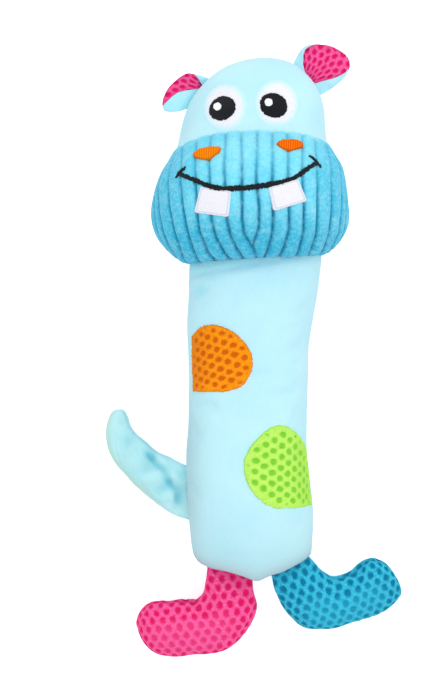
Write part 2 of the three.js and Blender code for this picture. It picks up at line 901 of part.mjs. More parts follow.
// Ears: two thin cupped layers, the lining to the front, pinched together at the root
const earRings = (ear, shares, towards, part) =>
  shares.map(([out, width, drift, thickness]) => {
    const layer = earLayer * thickness;
    const level = (towards * (layer + clearance)) / 2;
    return {
      centre: new THREE.Vector3(drift * ear.reach, out * ear.reach, level),
      half: new THREE.Vector3(width * ear.width * part, 0, 0),
      front: layer / 2,
      back: layer / 2,
      cup: earCup * out * width * part ** 2,
      roundness: earRoundness,
    };
  });
const addEar = (prefix, ear, shares) => {
  const ends = ear.side > 0 ? [ear.to, ear.from] : [ear.from, ear.to];
  const seam = spread(...ends, (along) => sideAt(headRings, along, headLength, ear.side));
  const lining = earRings(ear, shares, 1, liningWidth);
  const back = earRings(ear, shares, -1, 1);
  const frame = rootFrame(head, seam, 1, earLift, 4 * lining[0].front + clearance);
  place(frame, `${prefix}_ear_lining`, skin(lining, earSides), materialOf('pink'));
  place(frame, `${prefix}_ear_back`, skin(back, earSides), materialOf('plush'));
};
addEar('left', leftEar, leftEarShares);
addEar('right', rightEar, rightEarShares);

export default toy;
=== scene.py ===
import math

import bpy
import numpy as np
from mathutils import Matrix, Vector
from mathutils.bvhtree import BVHTree


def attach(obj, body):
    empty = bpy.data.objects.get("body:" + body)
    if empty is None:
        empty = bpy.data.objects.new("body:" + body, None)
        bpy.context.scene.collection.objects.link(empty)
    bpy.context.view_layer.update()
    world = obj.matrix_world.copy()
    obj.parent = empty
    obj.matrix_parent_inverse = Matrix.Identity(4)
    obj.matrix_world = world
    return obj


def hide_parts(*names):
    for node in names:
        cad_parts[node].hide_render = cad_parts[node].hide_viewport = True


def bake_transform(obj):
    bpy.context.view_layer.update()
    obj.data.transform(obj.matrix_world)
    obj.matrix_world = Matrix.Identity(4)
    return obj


# Plush stick toy with a hippo's head, lying on its back and seen from straight above.
# Pieces are worked out in millimetres and written in metres.

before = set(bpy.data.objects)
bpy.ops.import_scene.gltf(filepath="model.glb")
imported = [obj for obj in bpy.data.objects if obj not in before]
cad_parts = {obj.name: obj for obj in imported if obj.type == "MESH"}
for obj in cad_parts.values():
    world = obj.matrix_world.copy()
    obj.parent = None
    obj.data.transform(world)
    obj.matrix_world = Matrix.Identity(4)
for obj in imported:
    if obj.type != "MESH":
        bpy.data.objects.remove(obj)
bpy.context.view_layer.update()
mm = 0.001
clearance = 0.3
print("frame loaded,", len(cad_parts), "nodes")

# camera over the middle of the toy, looking straight down with the head to the top
viewSet = {"x": -0.0165, "y": 0.0378, "height": 1.2, "lens": 111.33}
bpy.ops.object.camera_add(location=(viewSet["x"], viewSet["y"], viewSet["height"]), rotation=(0, 0, 0))
camera = bpy.context.object
camera.name = "camera"
camera.data.sensor_fit = "VERTICAL"
camera.data.sensor_height = 36
camera.data.lens = viewSet["lens"]
camera.data.clip_end = 20
bpy.context.scene.camera = camera


# --- tables and forms

def rowsAt(knots, rows, at, slopes=None):
    # smooth curve through rows of values
    knots, rows = np.asarray(knots, float), np.asarray(rows, float)
    slope = np.gradient(rows, knots, axis=0) if slopes is None else slopes
    i = np.clip(np.searchsorted(knots, at, side="right") - 1, 0, len(knots) - 2)
    gap = (knots[i + 1] - knots[i])[:, None]
    t = ((at - knots[i])[:, None]) / gap
    a, b = rows[i], rows[i + 1]
    return (
        a * (1 + 2 * t) * (1 - t) ** 2
        + slope[i] * gap * t * (1 - t) ** 2
        + b * t * t * (3 - 2 * t)
        + slope[i + 1] * gap * t * t * (t - 1)
    )


def smoothAt(table, at):
    table, at = np.asarray(table, float), np.asarray(at, float)
    return rowsAt(table[:, 0], table[:, 1:], at.ravel())[:, 0].reshape(at.shape)


def ease(values, start, end):
    t = np.clip((values - start) / (end - start), 0, 1)
    return t * t * (3 - 2 * t)


def bell(values, width):
    # 1 at zero, falling off smoothly over this width on either side
    return np.exp(-((values / width) ** 2))


def averaged(values, reach):
    # moving average over this many neighbours on either side
    return np.convolve(np.pad(values, reach, mode="edge"), np.ones(2 * reach + 1) / (2 * reach + 1), "valid")


def lengthsAlong(points):
    # how far along a line of points each of them lies
    return np.concatenate(([0], np.cumsum(np.linalg.norm(np.diff(points, axis=0), axis=1))))


def lumps(points, size, seed, kinds=7):
    # slow uneven swell from -1 to 1, of about this size in mm
    chance = np.random.default_rng(seed)
    total = np.zeros(points.shape[:-1])
    for _ in range(kinds):
        way = chance.normal(size=3)
        way *= 2 * math.pi / (size * (0.7 + 0.8 * chance.random())) / np.linalg.norm(way)
        total += np.sin(points @ way + chance.random() * 2 * math.pi)
    return total / kinds * 1.7


def form(columns, roundness, backRoundness=None, tip=True, bottom=None):
    # columns of the table: centre x, centre y, half x, half y, front, back, bow
    table = np.stack(columns, 1)
    knots = lengthsAlong(table[:, :5])
    slopes = np.gradient(table, knots, axis=0)
    if tip:
        slopes[-1, 0:2] = 0
    return {
        "knots": knots, "table": table, "slopes": slopes, "length": knots[-1],
        "round": roundness, "backRound": backRoundness or roundness, "bottom": bottom,
    }


def ringsAt(shape, at):
    # the form's table at any places along it
    return rowsAt(shape["knots"], shape["table"], np.asarray(at, float), shape["slopes"])


def section(width, height, roundness, shares):
    # half a ring, from its right seam over the middle to its left seam, evenly spaced
    angle = np.linspace(0, math.pi, 361)
    across = np.sign(np.cos(angle)) * np.abs(np.cos(angle)) ** (2 / roundness)
    rise = np.abs(np.sin(angle)) ** (2 / roundness)
    arc = np.concatenate(([0], np.cumsum(np.hypot(np.diff(across * width), np.diff(rise * height)))))
    arc += np.linspace(0, 1e-6, len(angle))
    at = np.asarray(shares) * arc[-1]
    return np.interp(at, arc, across), np.interp(at, arc, rise) * height, arc[-1] / 2 - at


def skinGrid(shape, at, shares, side=1):
    # points of a form: one row for each place along it, one column for each share round it
    rows = ringsAt(shape, at)
    points = np.zeros((len(rows), len(shares), 3))
    arcs = np.zeros(points.shape[:2])
    roundness = shape["round"] if side > 0 else shape["backRound"]
    for i, row in enumerate(rows):
        width = math.hypot(row[2], row[3])
        height = max(row[4] if side > 0 else row[5], 0)
        across, rise, arcs[i] = section(width, height, roundness, shares)
        points[i, :, 0] = row[0] + row[2] * across
        points[i, :, 1] = row[1] + row[3] * across
        if shape["bottom"] is not None and row[6] > 0:
            points[i, :, 1] -= row[6] * smoothAt(shape["bottom"], across)
        points[i, :, 2] = rise * side
    return points, arcs


def gridNormals(points, side):
    normal = np.cross(np.gradient(points, axis=1), np.gradient(points, axis=0))
    normal = normal / np.maximum(np.linalg.norm(normal, axis=-1, keepdims=True), 1e-9)
    return -normal if normal[..., 2].mean() * side < 0 else normal


# --- stuffing

def readAll(items, key, size=1, kind=np.float32):
    values = np.zeros(len(items) * size, kind)
    items.foreach_get(key, values)
    return values.reshape(-1, size) if size > 1 else values


def writeAll(items, key, values):
    items.foreach_set(key, values.astype(np.float32).ravel())


def editAll(step, **settings):
    # one edit-mode step on everything in the active piece
    bpy.ops.object.mode_set(mode="EDIT")
    bpy.ops.mesh.select_all(action="SELECT")
    step(**settings)
    bpy.ops.object.mode_set(mode="OBJECT")


def mirrorOrder(columns):
    # columns of a closed ring that make up its back, in the front's order
    return [0] + [2 * columns - 2 - k for k in range(1, columns - 1)] + [columns - 1]


def bagRows(shape, rows):
    # the bag stops short of a form's tip, where its rings would have no size
    return np.linspace(0, shape["length"] * 0.985, rows)


clothSet = {
    "quality": 6, "mass": 0.1, "tension_stiffness": 12, "compression_stiffness": 12, "shear_stiffness": 6,
    "bending_stiffness": 0.8, "shrink_min": -0.035, "use_pressure": True, "vertex_group_mass": "held",
}
clothFrames = 20
inwardReach = 0.4  # a skin hardly moves inwards, mm
bagScale = 10 * mm  # ten times as large, which suits the solver


def stuffedMoves(name, shape, rows, columns, pressure, reach):
    # cloth simulation: a coarse bag is blown up while its seams and ends are held; returns the moves in mm
    at = bagRows(shape, rows)
    shares = np.linspace(0, 1, columns)
    front, _ = skinGrid(shape, at, shares, 1)
    back, _ = skinGrid(shape, at, shares, -1)
    ring = np.concatenate([front, back[:, -2:0:-1]], 1)
    around = ring.shape[1]
    before = ring.reshape(-1, 3)
    here = np.arange(rows * around).reshape(rows, around)
    beside = np.roll(here, -1, axis=1)
    faces = np.stack([here[:-1], beside[:-1], beside[1:], here[1:]], -1).reshape(-1, 4)
    mesh = bpy.data.meshes.new(name)
    mesh.from_pydata((before * bagScale).tolist(), [], faces.tolist())
    bag = bpy.data.objects.new(name, mesh)
    bpy.context.collection.objects.link(bag)
    if mesh.polygons[(rows // 2) * around + columns // 2].normal.z < 0:
        mesh.flip_normals()
    held = bag.vertex_groups.new(name="held")
    held.add(np.unique(np.r_[here[0], here[-1], here[:, 0], here[:, columns - 1]]).tolist(), 1.0, "REPLACE")
    cloth = bag.modifiers.new("cloth", "CLOTH")
    for key, value in {**clothSet, "uniform_pressure_force": pressure}.items():
        setattr(cloth.settings, key, value)
    cloth.settings.effector_weights.gravity = 0
    cloth.point_cache.frame_start = 1
    cloth.point_cache.frame_end = clothFrames
    bpy.context.scene.frame_set(0)
    bpy.context.view_layer.update()
    for number in range(1, clothFrames + 1):
        bpy.context.scene.frame_set(number)
    soft = bag.evaluated_get(bpy.context.evaluated_depsgraph_get()).data
    moves = (readAll(soft.vertices, "co", 3) / bagScale - before).reshape(ring.shape)
    bpy.data.objects.remove(bag)
    bpy.context.scene.frame_set(1)
    # the movement is capped, so that the seams' outline and the filling keep their places
    outward = np.concatenate([gridNormals(front, 1), gridNormals(back, -1)[:, -2:0:-1]], 1)
    size = (moves * outward).sum(-1)
    print(name, "blown up, mm:", *(round(float(value), 2) for value in (size.min(), size.mean(), size.max())))
    size = np.where(size > 0, reach * np.tanh(size / reach), inwardReach * np.tanh(size / inwardReach))
    size *= (ease(at, 0, 8) * ease(at[-1] - at, 0, 0.2 * at[-1]))[:, None]
    moves = outward * size[..., None]
    calm = ease(np.minimum(shares, 1 - shares), 0, 0.2)[None, :, None]
    return {1: moves[:, :columns] * calm, -1: moves[:, mirrorOrder(columns)] * calm}


def movesAt(moves, shape, at, shares):
    # simulated moves at other places along a form and round it
    rows, columns = moves.shape[:2]
    knots = bagRows(shape, rows)
    along = rowsAt(knots, moves.reshape(rows, -1), np.minimum(np.asarray(at, float), knots[-1]))
    along = along.reshape(-1, columns, 3).transpose(1, 0, 2).reshape(columns, -1)
    across = rowsAt(np.linspace(0, 1, columns), along, np.asarray(shares, float))
    return across.reshape(len(shares), -1, 3).transpose(1, 0, 2)


def fromSides(arcs):
    return np.minimum(arcs[:, :1] - arcs, arcs - arcs[:, -1:])


def stuffedSkin(shape, moves, side, rows, columns):
    # a stuffed panel's points, arcs and normals, and how far each point is from its side seams and its root
    at = np.linspace(0, shape["length"], rows)
    shares = np.linspace(0, 1, columns)
    points, arcs = skinGrid(shape, at, shares, side)
    points += movesAt(moves[side], shape, at, shares)
    return points, arcs, gridNormals(points, side), fromSides(arcs), np.broadcast_to(at[:, None], arcs.shape)


# --- making pieces

def joined(pieces, name):
    bpy.ops.object.select_all(action="DESELECT")
    for piece in pieces:
        piece.select_set(True)
    bpy.context.view_layer.objects.active = pieces[0]
    bpy.ops.object.join()
    bpy.ops.object.shade_smooth()
    piece = bpy.context.object
    piece.name = piece.data.name = name
    return piece


def gridPiece(name, points, uvs, marks=None, wall=0, side=1):
    # a grid of faces laid over the points, with its cloth's own coordinates in mm; it faces up for side 1
    rows, columns = points.shape[:2]
    bpy.ops.object.select_all(action="DESELECT")
    bpy.ops.mesh.primitive_grid_add(x_subdivisions=columns - 1, y_subdivisions=rows - 1, size=1)
    piece = bpy.context.object
    piece.name = piece.data.name = name
    mesh = piece.data
    flat = readAll(mesh.vertices, "co", 3)
    column = np.rint((flat[:, 0] + 0.5) * (columns - 1)).astype(int)
    row = np.rint((flat[:, 1] + 0.5) * (rows - 1)).astype(int)
    writeAll(mesh.vertices, "co", points[row, column] * mm)
    mesh.uv_layers[0].name = "UVMap"
    corner = readAll(mesh.loops, "vertex_index", 1, np.int32)
    writeAll(mesh.uv_layers[0].data, "uv", uvs[row, column][corner])
    for key, values in (marks or {}).items():
        writeAll(mesh.attributes.new(key, "FLOAT", "POINT").data, "value", values[row, column])
    mesh.update()
    editAll(bpy.ops.mesh.remove_doubles, threshold=0.00002)
    if side is None:
        editAll(bpy.ops.mesh.normals_make_consistent, inside=False)
    elif readAll(mesh.polygons, "normal", 3).sum(0)[2] * side < 0:
        editAll(bpy.ops.mesh.flip_normals)
    if wall:
        solid = piece.modifiers.new("wall", "SOLIDIFY")
        solid.thickness = wall * mm
        solid.offset = -1
        bpy.ops.object.modifier_apply(modifier=solid.name)
        bpy.ops.object.mode_set(mode="EDIT")
        bpy.ops.mesh.select_mode(type="EDGE")
        bpy.ops.mesh.select_all(action="DESELECT")
        bpy.ops.mesh.edges_select_sharp(sharpness=math.radians(65))
        bpy.ops.mesh.mark_sharp()
        bpy.ops.object.mode_set(mode="OBJECT")
    bpy.ops.object.shade_smooth()
    return piece


def finishPiece(piece, material, nodes, body=None, bend=None):
    piece.data.materials.clear()
    piece.data.materials.append(material)
    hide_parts(*nodes)
    if bend:
        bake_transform(piece)
    else:
        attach(piece, body)


def treeOf(*grids):
    # search tree over smooth skins, for laying pieces on them
    points, faces = [], []
    for grid in grids:
        here = len(points) + np.arange(grid.shape[0] * grid.shape[1]).reshape(grid.shape[:2])
        quads = np.stack([here[:-1, :-1], here[:-1, 1:], here[1:, 1:], here[1:, :-1]], -1)
        faces += quads.reshape(-1, 4).tolist()
        points += grid.reshape(-1, 3).tolist()
    return BVHTree.FromPolygons(points, faces)


rayFrom, seamLevel = 300, 31


def layOn(tree, flat):
    # the points of a skin straight under flat ones, or nearest to them, and the skin's normals there
    points, normals = np.zeros((2, *flat.shape[:-1], 3))
    for i in np.ndindex(flat.shape[:-1]):
        x, y = flat[i][0], flat[i][1]
        hit, normal, _, _ = tree.ray_cast(Vector((x, y, rayFrom)), Vector((0, 0, -1)))
        if hit is None:
            hit, normal, _, _ = tree.find_nearest(Vector((x, y, seamLevel)))
        points[i] = hit
        normals[i] = normal if normal.z > 0 else -normal
    return points, normals


# --- finishes

def linear(colour):
    values = [v / 255 for v in colour]
    return (*[v / 12.92 if v <= 0.04045 else ((v + 0.055) / 1.055) ** 2.4 for v in values], 1.0)


def addNode(tree, kind, inputs=None, **settings):
    made = tree.nodes.new(kind)
    for key, value in settings.items():
        setattr(made, key, value)
    for key, value in (inputs or {}).items():
        if isinstance(value, bpy.types.NodeSocket):
            tree.links.new(value, made.inputs[key])
        else:
            made.inputs[key].default_value = value
    return made


def addRamp(tree, factor, stops):
    ramp = addNode(tree, "ShaderNodeValToRGB", {"Fac": factor})
    while len(ramp.color_ramp.elements) < len(stops):
        ramp.color_ramp.elements.new(0.5)
    for element, (place, colour) in zip(ramp.color_ramp.elements, stops):
        element.position = place
        element.color = linear(colour)
    return ramp.outputs["Color"]


def mixColour(tree, factor, a, b):
    settings = {"data_type": "RGBA", "blend_type": "MIX", "clamp_result": True}
    return addNode(tree, "ShaderNodeMix", {0: factor, 6: a, 7: b}, **settings).outputs[2]


def doMath(tree, operation, *values):
    return addNode(tree, "ShaderNodeMath", dict(enumerate(values)), operation=operation).outputs[0]


def doVector(tree, operation, *values):
    return addNode(tree, "ShaderNodeVectorMath", dict(enumerate(values)), operation=operation).outputs[0]


def overlay(tree, colour, top, factor, amount=None):
    # a colour laid over another one by a factor, or by this much of it
    if amount is not None:
        factor = doMath(tree, "MULTIPLY", factor, amount)
    return mixColour(tree, factor, colour, linear(top))


def remapped(tree, value, start, end, **settings):
    # from 0 at the start to 1 at the end
    inputs = {"Value": value, "From Min": start, "From Max": end}
    return addNode(tree, "ShaderNodeMapRange", inputs, **settings).outputs["Result"]


def mark(tree, name):
    return addNode(tree, "ShaderNodeAttribute", attribute_name=name).outputs["Fac"]


def noiseAt(tree, place, scale, detail, **more):
    inputs = {"Vector": place, "Scale": scale, "Detail": detail, **more}
    return addNode(tree, "ShaderNodeTexNoise", inputs).outputs["Fac"]


def newFinish(name, roughness, sheen=0.0, sheenRoughness=0.4, specular=0.3):
    material = bpy.data.materials.new(name)
    material.use_nodes = True
    tree = material.node_tree
    shader = tree.nodes["Principled BSDF"]
    shader.inputs["Roughness"].default_value = roughness
    shader.inputs["Specular IOR Level"].default_value = specular
    shader.inputs["Sheen Weight"].default_value = sheen
    shader.inputs["Sheen Roughness"].default_value = sheenRoughness
    return material, tree, shader


def paint(tree, shader, colour):
    tree.links.new(colour, shader.inputs["Base Color"])


def addBump(tree, shader, height, distance, strength=1.0, under=None):
    inputs = {"Height": height, "Distance": distance, "Strength": strength}
    if under is not None:
        inputs["Normal"] = under
    bump = addNode(tree, "ShaderNodeBump", inputs)
    tree.links.new(bump.outputs["Normal"], shader.inputs["Normal"])
    return bump.outputs["Normal"]


def objectNoise(tree, scale, detail=2.0, stretch=(1, 1, 1), roughness=0.5):
    place = addNode(tree, "ShaderNodeTexCoord").outputs["Object"]
    place = addNode(tree, "ShaderNodeMapping", {"Vector": place, "Scale": stretch}).outputs["Vector"]
    return noiseAt(tree, place, scale, detail, Roughness=roughness)


black, white = (0, 0, 0), (255, 255, 255)


def plushFinish(name, pale, deep, seam, shadeTint, edge):
    # short brushed pile: slow mottling, fine nap, painted shade where it dips at seams, folds and hollows,
    # and a painted shade tint that deepens to the edge colour
    material, tree, shader = newFinish(name, 0.95, sheen=0.25, sheenRoughness=0.45, specular=0.1)
    slow = objectNoise(tree, 38, 3)
    nap = objectNoise(tree, 900, 3, (1, 0.45, 1))
    colour = addRamp(tree, slow, [(0.3, deep), (0.68, pale)])
    colour = overlay(tree, colour, deep, nap, 0.12)
    # painted shade: the seam colour laid over the dips
    colour = overlay(tree, colour, seam, mark(tree, "dip"), 0.75)
    # painted shade tint, deepest where its mark is strongest
    near = doMath(tree, "MULTIPLY", mark(tree, "shadeTint"), doMath(tree, "MULTIPLY_ADD", slow, 0.7, 0.65))
    colour = overlay(tree, colour, shadeTint, near)
    colour = overlay(tree, colour, edge, remapped(tree, near, 0.65, 1.35))
    paint(tree, shader, colour)
    pile = addBump(tree, shader, nap, distance=0.0005, strength=0.55)
    addBump(tree, shader, objectNoise(tree, 300, 2, (1, 0.6, 1)), distance=0.0006, strength=0.3, under=pile)
    return material


def corduroyFinish(name, pale, mid, low, groove, plushColour):
    # wide wales: brushed pile with flecks, the groove colour laid in the grooves for their bare cloth and
    # painted shade, painted shade low on the muzzle, plush laid over its top edge
    material, tree, shader = newFinish(name, 0.9, sheen=0.2, sheenRoughness=0.4, specular=0.15)
    down = mark(tree, "down")
    fleck = objectNoise(tree, 640, 4, (1, 1, 1), 0.6)
    dark = addRamp(tree, fleck, [(0.5, black), (0.68, white)])
    light = addRamp(tree, fleck, [(0.34, white), (0.5, black)])
    ragged = doMath(tree, "MULTIPLY_ADD", fleck, 0.7, 0.62)
    colour = addRamp(tree, objectNoise(tree, 45, 2), [(0.32, mid), (0.66, pale)])
    # painted shade: the lower muzzle and its sides turn away from the light and take the low colour
    colour = overlay(tree, colour, low, down, 0.8)
    colour = overlay(tree, colour, groove, dark, doMath(tree, "MULTIPLY_ADD", down, 0.26, 0.12))
    colour = overlay(tree, colour, plushColour, light, 0.24)
    # groove colour by the dip mark: bare cloth and painted shade in the grooves, painted shade on the wales'
    # shoulders and at the seams
    colour = overlay(tree, colour, groove, mark(tree, "dip"), ragged)
    frayed = doMath(tree, "MULTIPLY_ADD", objectNoise(tree, 260, 3), 1.3, -0.65)
    over = doMath(tree, "ADD", mark(tree, "over"), frayed)
    colour = overlay(tree, colour, plushColour, remapped(tree, over, 0.0, 1.15))
    paint(tree, shader, colour)
    pile = addBump(tree, shader, fleck, distance=0.0008, strength=0.6)
    addBump(tree, shader, objectNoise(tree, 1500, 2, (1, 0.4, 1)), distance=0.0004, strength=0.4, under=pile)
    return material


meshCloth = {"columns": 9.7, "rows": 5.9, "holeWide": 3.7, "holeTall": 2.9}
cellSizes = (meshCloth["columns"] / meshCloth["holeWide"] * 2, meshCloth["rows"] / meshCloth["holeTall"] * 2)


def meshFinish(name, pale, mid, hole, edge, glint):
    # spacer mesh: staggered oval holes between knitted bars; the holes are darker from the inner layer and
    # painted shade, and a painted highlight runs along the middle of the bars' yarn
    material, tree, shader = newFinish(name, 0.75, specular=0.12)
    uv = addNode(tree, "ShaderNodeUVMap", uv_map="UVMap").outputs["UV"]
    inputs = {"Vector": uv, "Scale": 0.09, "Detail": 1.0}
    wobble = addNode(tree, "ShaderNodeTexNoise", inputs).outputs["Color"]
    shift = doVector(tree, "MULTIPLY", doVector(tree, "SUBTRACT", wobble, (0.5, 0.5, 0.5)), (2.2, 2.2, 2.2))
    place = doVector(tree, "ADD", uv, shift)
    place = doVector(tree, "MULTIPLY", place, (1 / meshCloth["columns"], 1 / meshCloth["rows"], 0))
    reach = []
    for start in ((0, 0, 0), (0.5, 0.5, 0)):
        cell = doVector(tree, "FRACTION", doVector(tree, "ADD", place, start))
        cell = doVector(tree, "MULTIPLY", doVector(tree, "SUBTRACT", cell, (0.5, 0.5, 0)), (*cellSizes, 0))
        reach.append(addNode(tree, "ShaderNodeVectorMath", {0: cell}, operation="LENGTH").outputs["Value"])
    nearest = doMath(tree, "MINIMUM", *reach)
    rough, uneven, rim = noiseAt(tree, uv, 0.9, 4.0), noiseAt(tree, uv, 0.42, 1.0), mark(tree, "rim")
    nearest = doMath(tree, "MULTIPLY_ADD", rough, 0.55, doMath(tree, "SUBTRACT", nearest, 0.27))
    nearest = doMath(tree, "MULTIPLY_ADD", uneven, 0.9, doMath(tree, "SUBTRACT", nearest, 0.45))
    nearest = doMath(tree, "MULTIPLY_ADD", rim, 1.6, nearest)
    share = doMath(tree, "MULTIPLY", nearest, 0.45)
    # the hole colour is the inner layer with painted shade; the pale bar crests are a painted highlight
    stops = [(0.0, hole), (0.34, hole), (0.5, mid), (0.72, pale)]
    strands = addNode(tree, "ShaderNodeTexVoronoi", {"Vector": uv, "Scale": 1.7}, feature="F1")
    colour = overlay(tree, addRamp(tree, share, stops), mid, strands.outputs["Distance"], 0.3)
    twist = addRamp(tree, noiseAt(tree, uv, 0.48, 2.0, Distortion=1.4), [(0.5, black), (0.66, white)])
    colour = overlay(tree, colour, edge, twist, doMath(tree, "MULTIPLY_ADD", rim, 0.35, 0.3))
    threads = noiseAt(tree, uv, 0.85, 5.0, Roughness=0.75)
    thread = addRamp(tree, threads, [(0.52, black), (0.72, white)])
    colour = overlay(tree, colour, edge, thread, doMath(tree, "MULTIPLY_ADD", rim, 0.4, 0.5))
    # painted highlight on the yarn along the bars
    shine = addRamp(tree, threads, [(0.3, white), (0.44, black)])
    onBar = doMath(tree, "MULTIPLY", remapped(tree, nearest, 0.9, 1.4), 0.85)
    colour = overlay(tree, colour, glint, shine, onBar)
    # painted highlight on the crown, the top of a boot
    colour = overlay(tree, colour, pale, mark(tree, "crown"), 0.3)
    # painted shade at seams and roots and where a patch turns towards the body's side, together with the
    # patches' stitched rims
    colour = overlay(tree, colour, edge, mark(tree, "dip"), 0.8)
    paint(tree, shader, colour)
    height = remapped(tree, nearest, 0.6, 1.5, interpolation_type="SMOOTHSTEP")
    addBump(tree, shader, doMath(tree, "MULTIPLY_ADD", threads, 0.5, height), distance=0.0008, strength=0.55)
    return material


def satinFinish(name, colour, deep, turn, pitch, gloss, edge=None, specular=0.22, glow=0):
    # satin stitch: parallel threads side by side
    material, tree, shader = newFinish(name, gloss, specular=specular)
    uv = addNode(tree, "ShaderNodeUVMap", uv_map="UVMap").outputs["UV"]
    along = addNode(tree, "ShaderNodeMapping", {"Vector": uv, "Rotation": (0, 0, turn)}).outputs["Vector"]
    inputs = {"Vector": along, "Scale": 1 / pitch / 3.2, "Distortion": 1.1, "Detail": 2.0}
    wave = addNode(tree, "ShaderNodeTexWave", inputs, bands_direction="X", wave_profile="SIN")
    wave.inputs["Detail Scale"].default_value = 1.6
    threads = wave.outputs["Fac"]
    face = mixColour(tree, threads, linear(deep), linear(colour))
    face = overlay(tree, face, deep, noiseAt(tree, along, 0.5, 3.0), 0.35)
    face = overlay(tree, face, edge or deep, mark(tree, "dip"))
    paint(tree, shader, face)
    # painted light: the glow makes the stitching brighter than the lamps light it
    shader.inputs["Emission Color"].default_value = linear(colour)
    shader.inputs["Emission Strength"].default_value = glow
    addBump(tree, shader, threads, distance=0.00022, strength=0.9)
    return material


def feltFinish(name, pale, deep, line, soft=False):
    # thick white felt with a stitched line, or a brushed disc whose rim fades into the plush round it
    material, tree, shader = newFinish(name, 0.95, sheen=0.3, specular=0.1)
    fibre = objectNoise(tree, 1100, 4, (1, 1, 1), 0.7)
    dip = mark(tree, "dip")
    if soft:
        ragged = doMath(tree, "MULTIPLY_ADD", objectNoise(tree, 350, 3), 0.5, -0.25)
        dip = remapped(tree, doMath(tree, "ADD", dip, ragged), 0.1, 0.9)
    colour = addRamp(tree, fibre, [(0.3, deep), (0.6, pale)])
    paint(tree, shader, overlay(tree, colour, line, dip))
    addBump(tree, shader, fibre, distance=0.0004, strength=0.5)
    return material


def fibreFinish(name, pale, deep):
    material, tree, shader = newFinish(name, 1.0, sheen=0.4, specular=0.1)
    puff = objectNoise(tree, 180, 5, (1, 1, 1), 0.65)
    paint(tree, shader, addRamp(tree, puff, [(0.3, deep), (0.65, pale)]))
    addBump(tree, shader, puff, distance=0.002, strength=0.8)
    return material


def plasticFinish(name, pale, deep, roughness):
    material, tree, shader = newFinish(name, roughness, specular=0.5)
    cloud = objectNoise(tree, 90, 3)
    paint(tree, shader, addRamp(tree, cloud, [(0.35, deep), (0.7, pale)]))
    addBump(tree, shader, objectNoise(tree, 1400, 2), distance=0.0001, strength=0.4)
    return material


# pale, deep, seam colour for painted shade in dips, painted shade tint, deepest painted shade
plush = plushFinish(
    "plush_blue", (195, 240, 249), (184, 234, 247), (112, 230, 246), (164, 198, 206), (150, 166, 176)
)
tailPlush = plushFinish(
    "plush_blue_tail", (192, 237, 242), (158, 225, 235), (64, 178, 200), (200, 232, 186), (196, 206, 160)
)
# pale, mid, low colour for painted shade, groove colour for bare cloth and painted shade, plush over its edge
corduroy = corduroyFinish(
    "corduroy_blue", (138, 230, 250), (104, 217, 245), (12, 184, 226), (0, 142, 180), (190, 242, 252)
)
# pale (also a painted highlight on bar crests and boot tops), mid, hole (inner layer and painted shade), edge
# (threads, stitched rims and painted seam shade), glint (painted highlight on the yarn)
meshColours = {
    "orange": [(255, 156, 8), (250, 134, 0), (204, 92, 0), (206, 96, 0), (255, 196, 70)],
    "green": [(196, 244, 108), (172, 238, 78), (112, 198, 58), (150, 222, 66), (226, 250, 170)],
    "pink": [(255, 100, 168), (255, 62, 138), (226, 0, 92), (206, 14, 90), (255, 168, 210)],
    "teal": [(58, 196, 228), (26, 166, 204), (0, 114, 154), (8, 112, 146), (140, 226, 244)],
}
meshes = {name: meshFinish("mesh_" + name, *colours) for name, colours in meshColours.items()}
inkSatin = satinFinish("embroidery_black", (15, 18, 27), (4, 6, 12), turn=0.9, pitch=0.5, gloss=0.5)
# the white highlight stitching has a slight painted glow
glintSatin = satinFinish(
    "embroidery_white", white, (240, 243, 250), turn=1.2, pitch=0.5, gloss=0.5, glow=0.16
)
# name, colour, deep, edge
nostrilColours = {
    "left": ("embroidery_orange", (255, 158, 6), (240, 108, 0), (150, 104, 50)),
    "right": ("embroidery_orange_deep", (255, 132, 4), (236, 84, 0), (150, 84, 40)),
}
nostrilSatins = {
    side: satinFinish(name, colour, deep, turn=0.06, pitch=1.15, gloss=0.8, edge=edge, specular=0.05)
    for side, (name, colour, deep, edge) in nostrilColours.items()
}
eyeFelt = feltFinish("embroidery_white_eye", (243, 243, 250), (228, 230, 241), (196, 240, 251), soft=True)
toothFelt = feltFinish("embroidery_white_tooth", (242, 241, 248), (229, 231, 242), (212, 216, 230))
filling = fibreFinish("fibre_filling", (250, 250, 250), (224, 226, 230))
bulbPlastic = plasticFinish("squeaker_bulb", (242, 242, 238), (226, 226, 220), 0.4)
reedPlastic = plasticFinish("squeaker_reed", (232, 230, 220), (214, 210, 196), 0.55)
print("finishes made")

neck = np.array([2.4, 86.4, 30.5])  # middle of the neck seam, mm
neckTilt = math.tan(math.radians(3.5))

# --- body

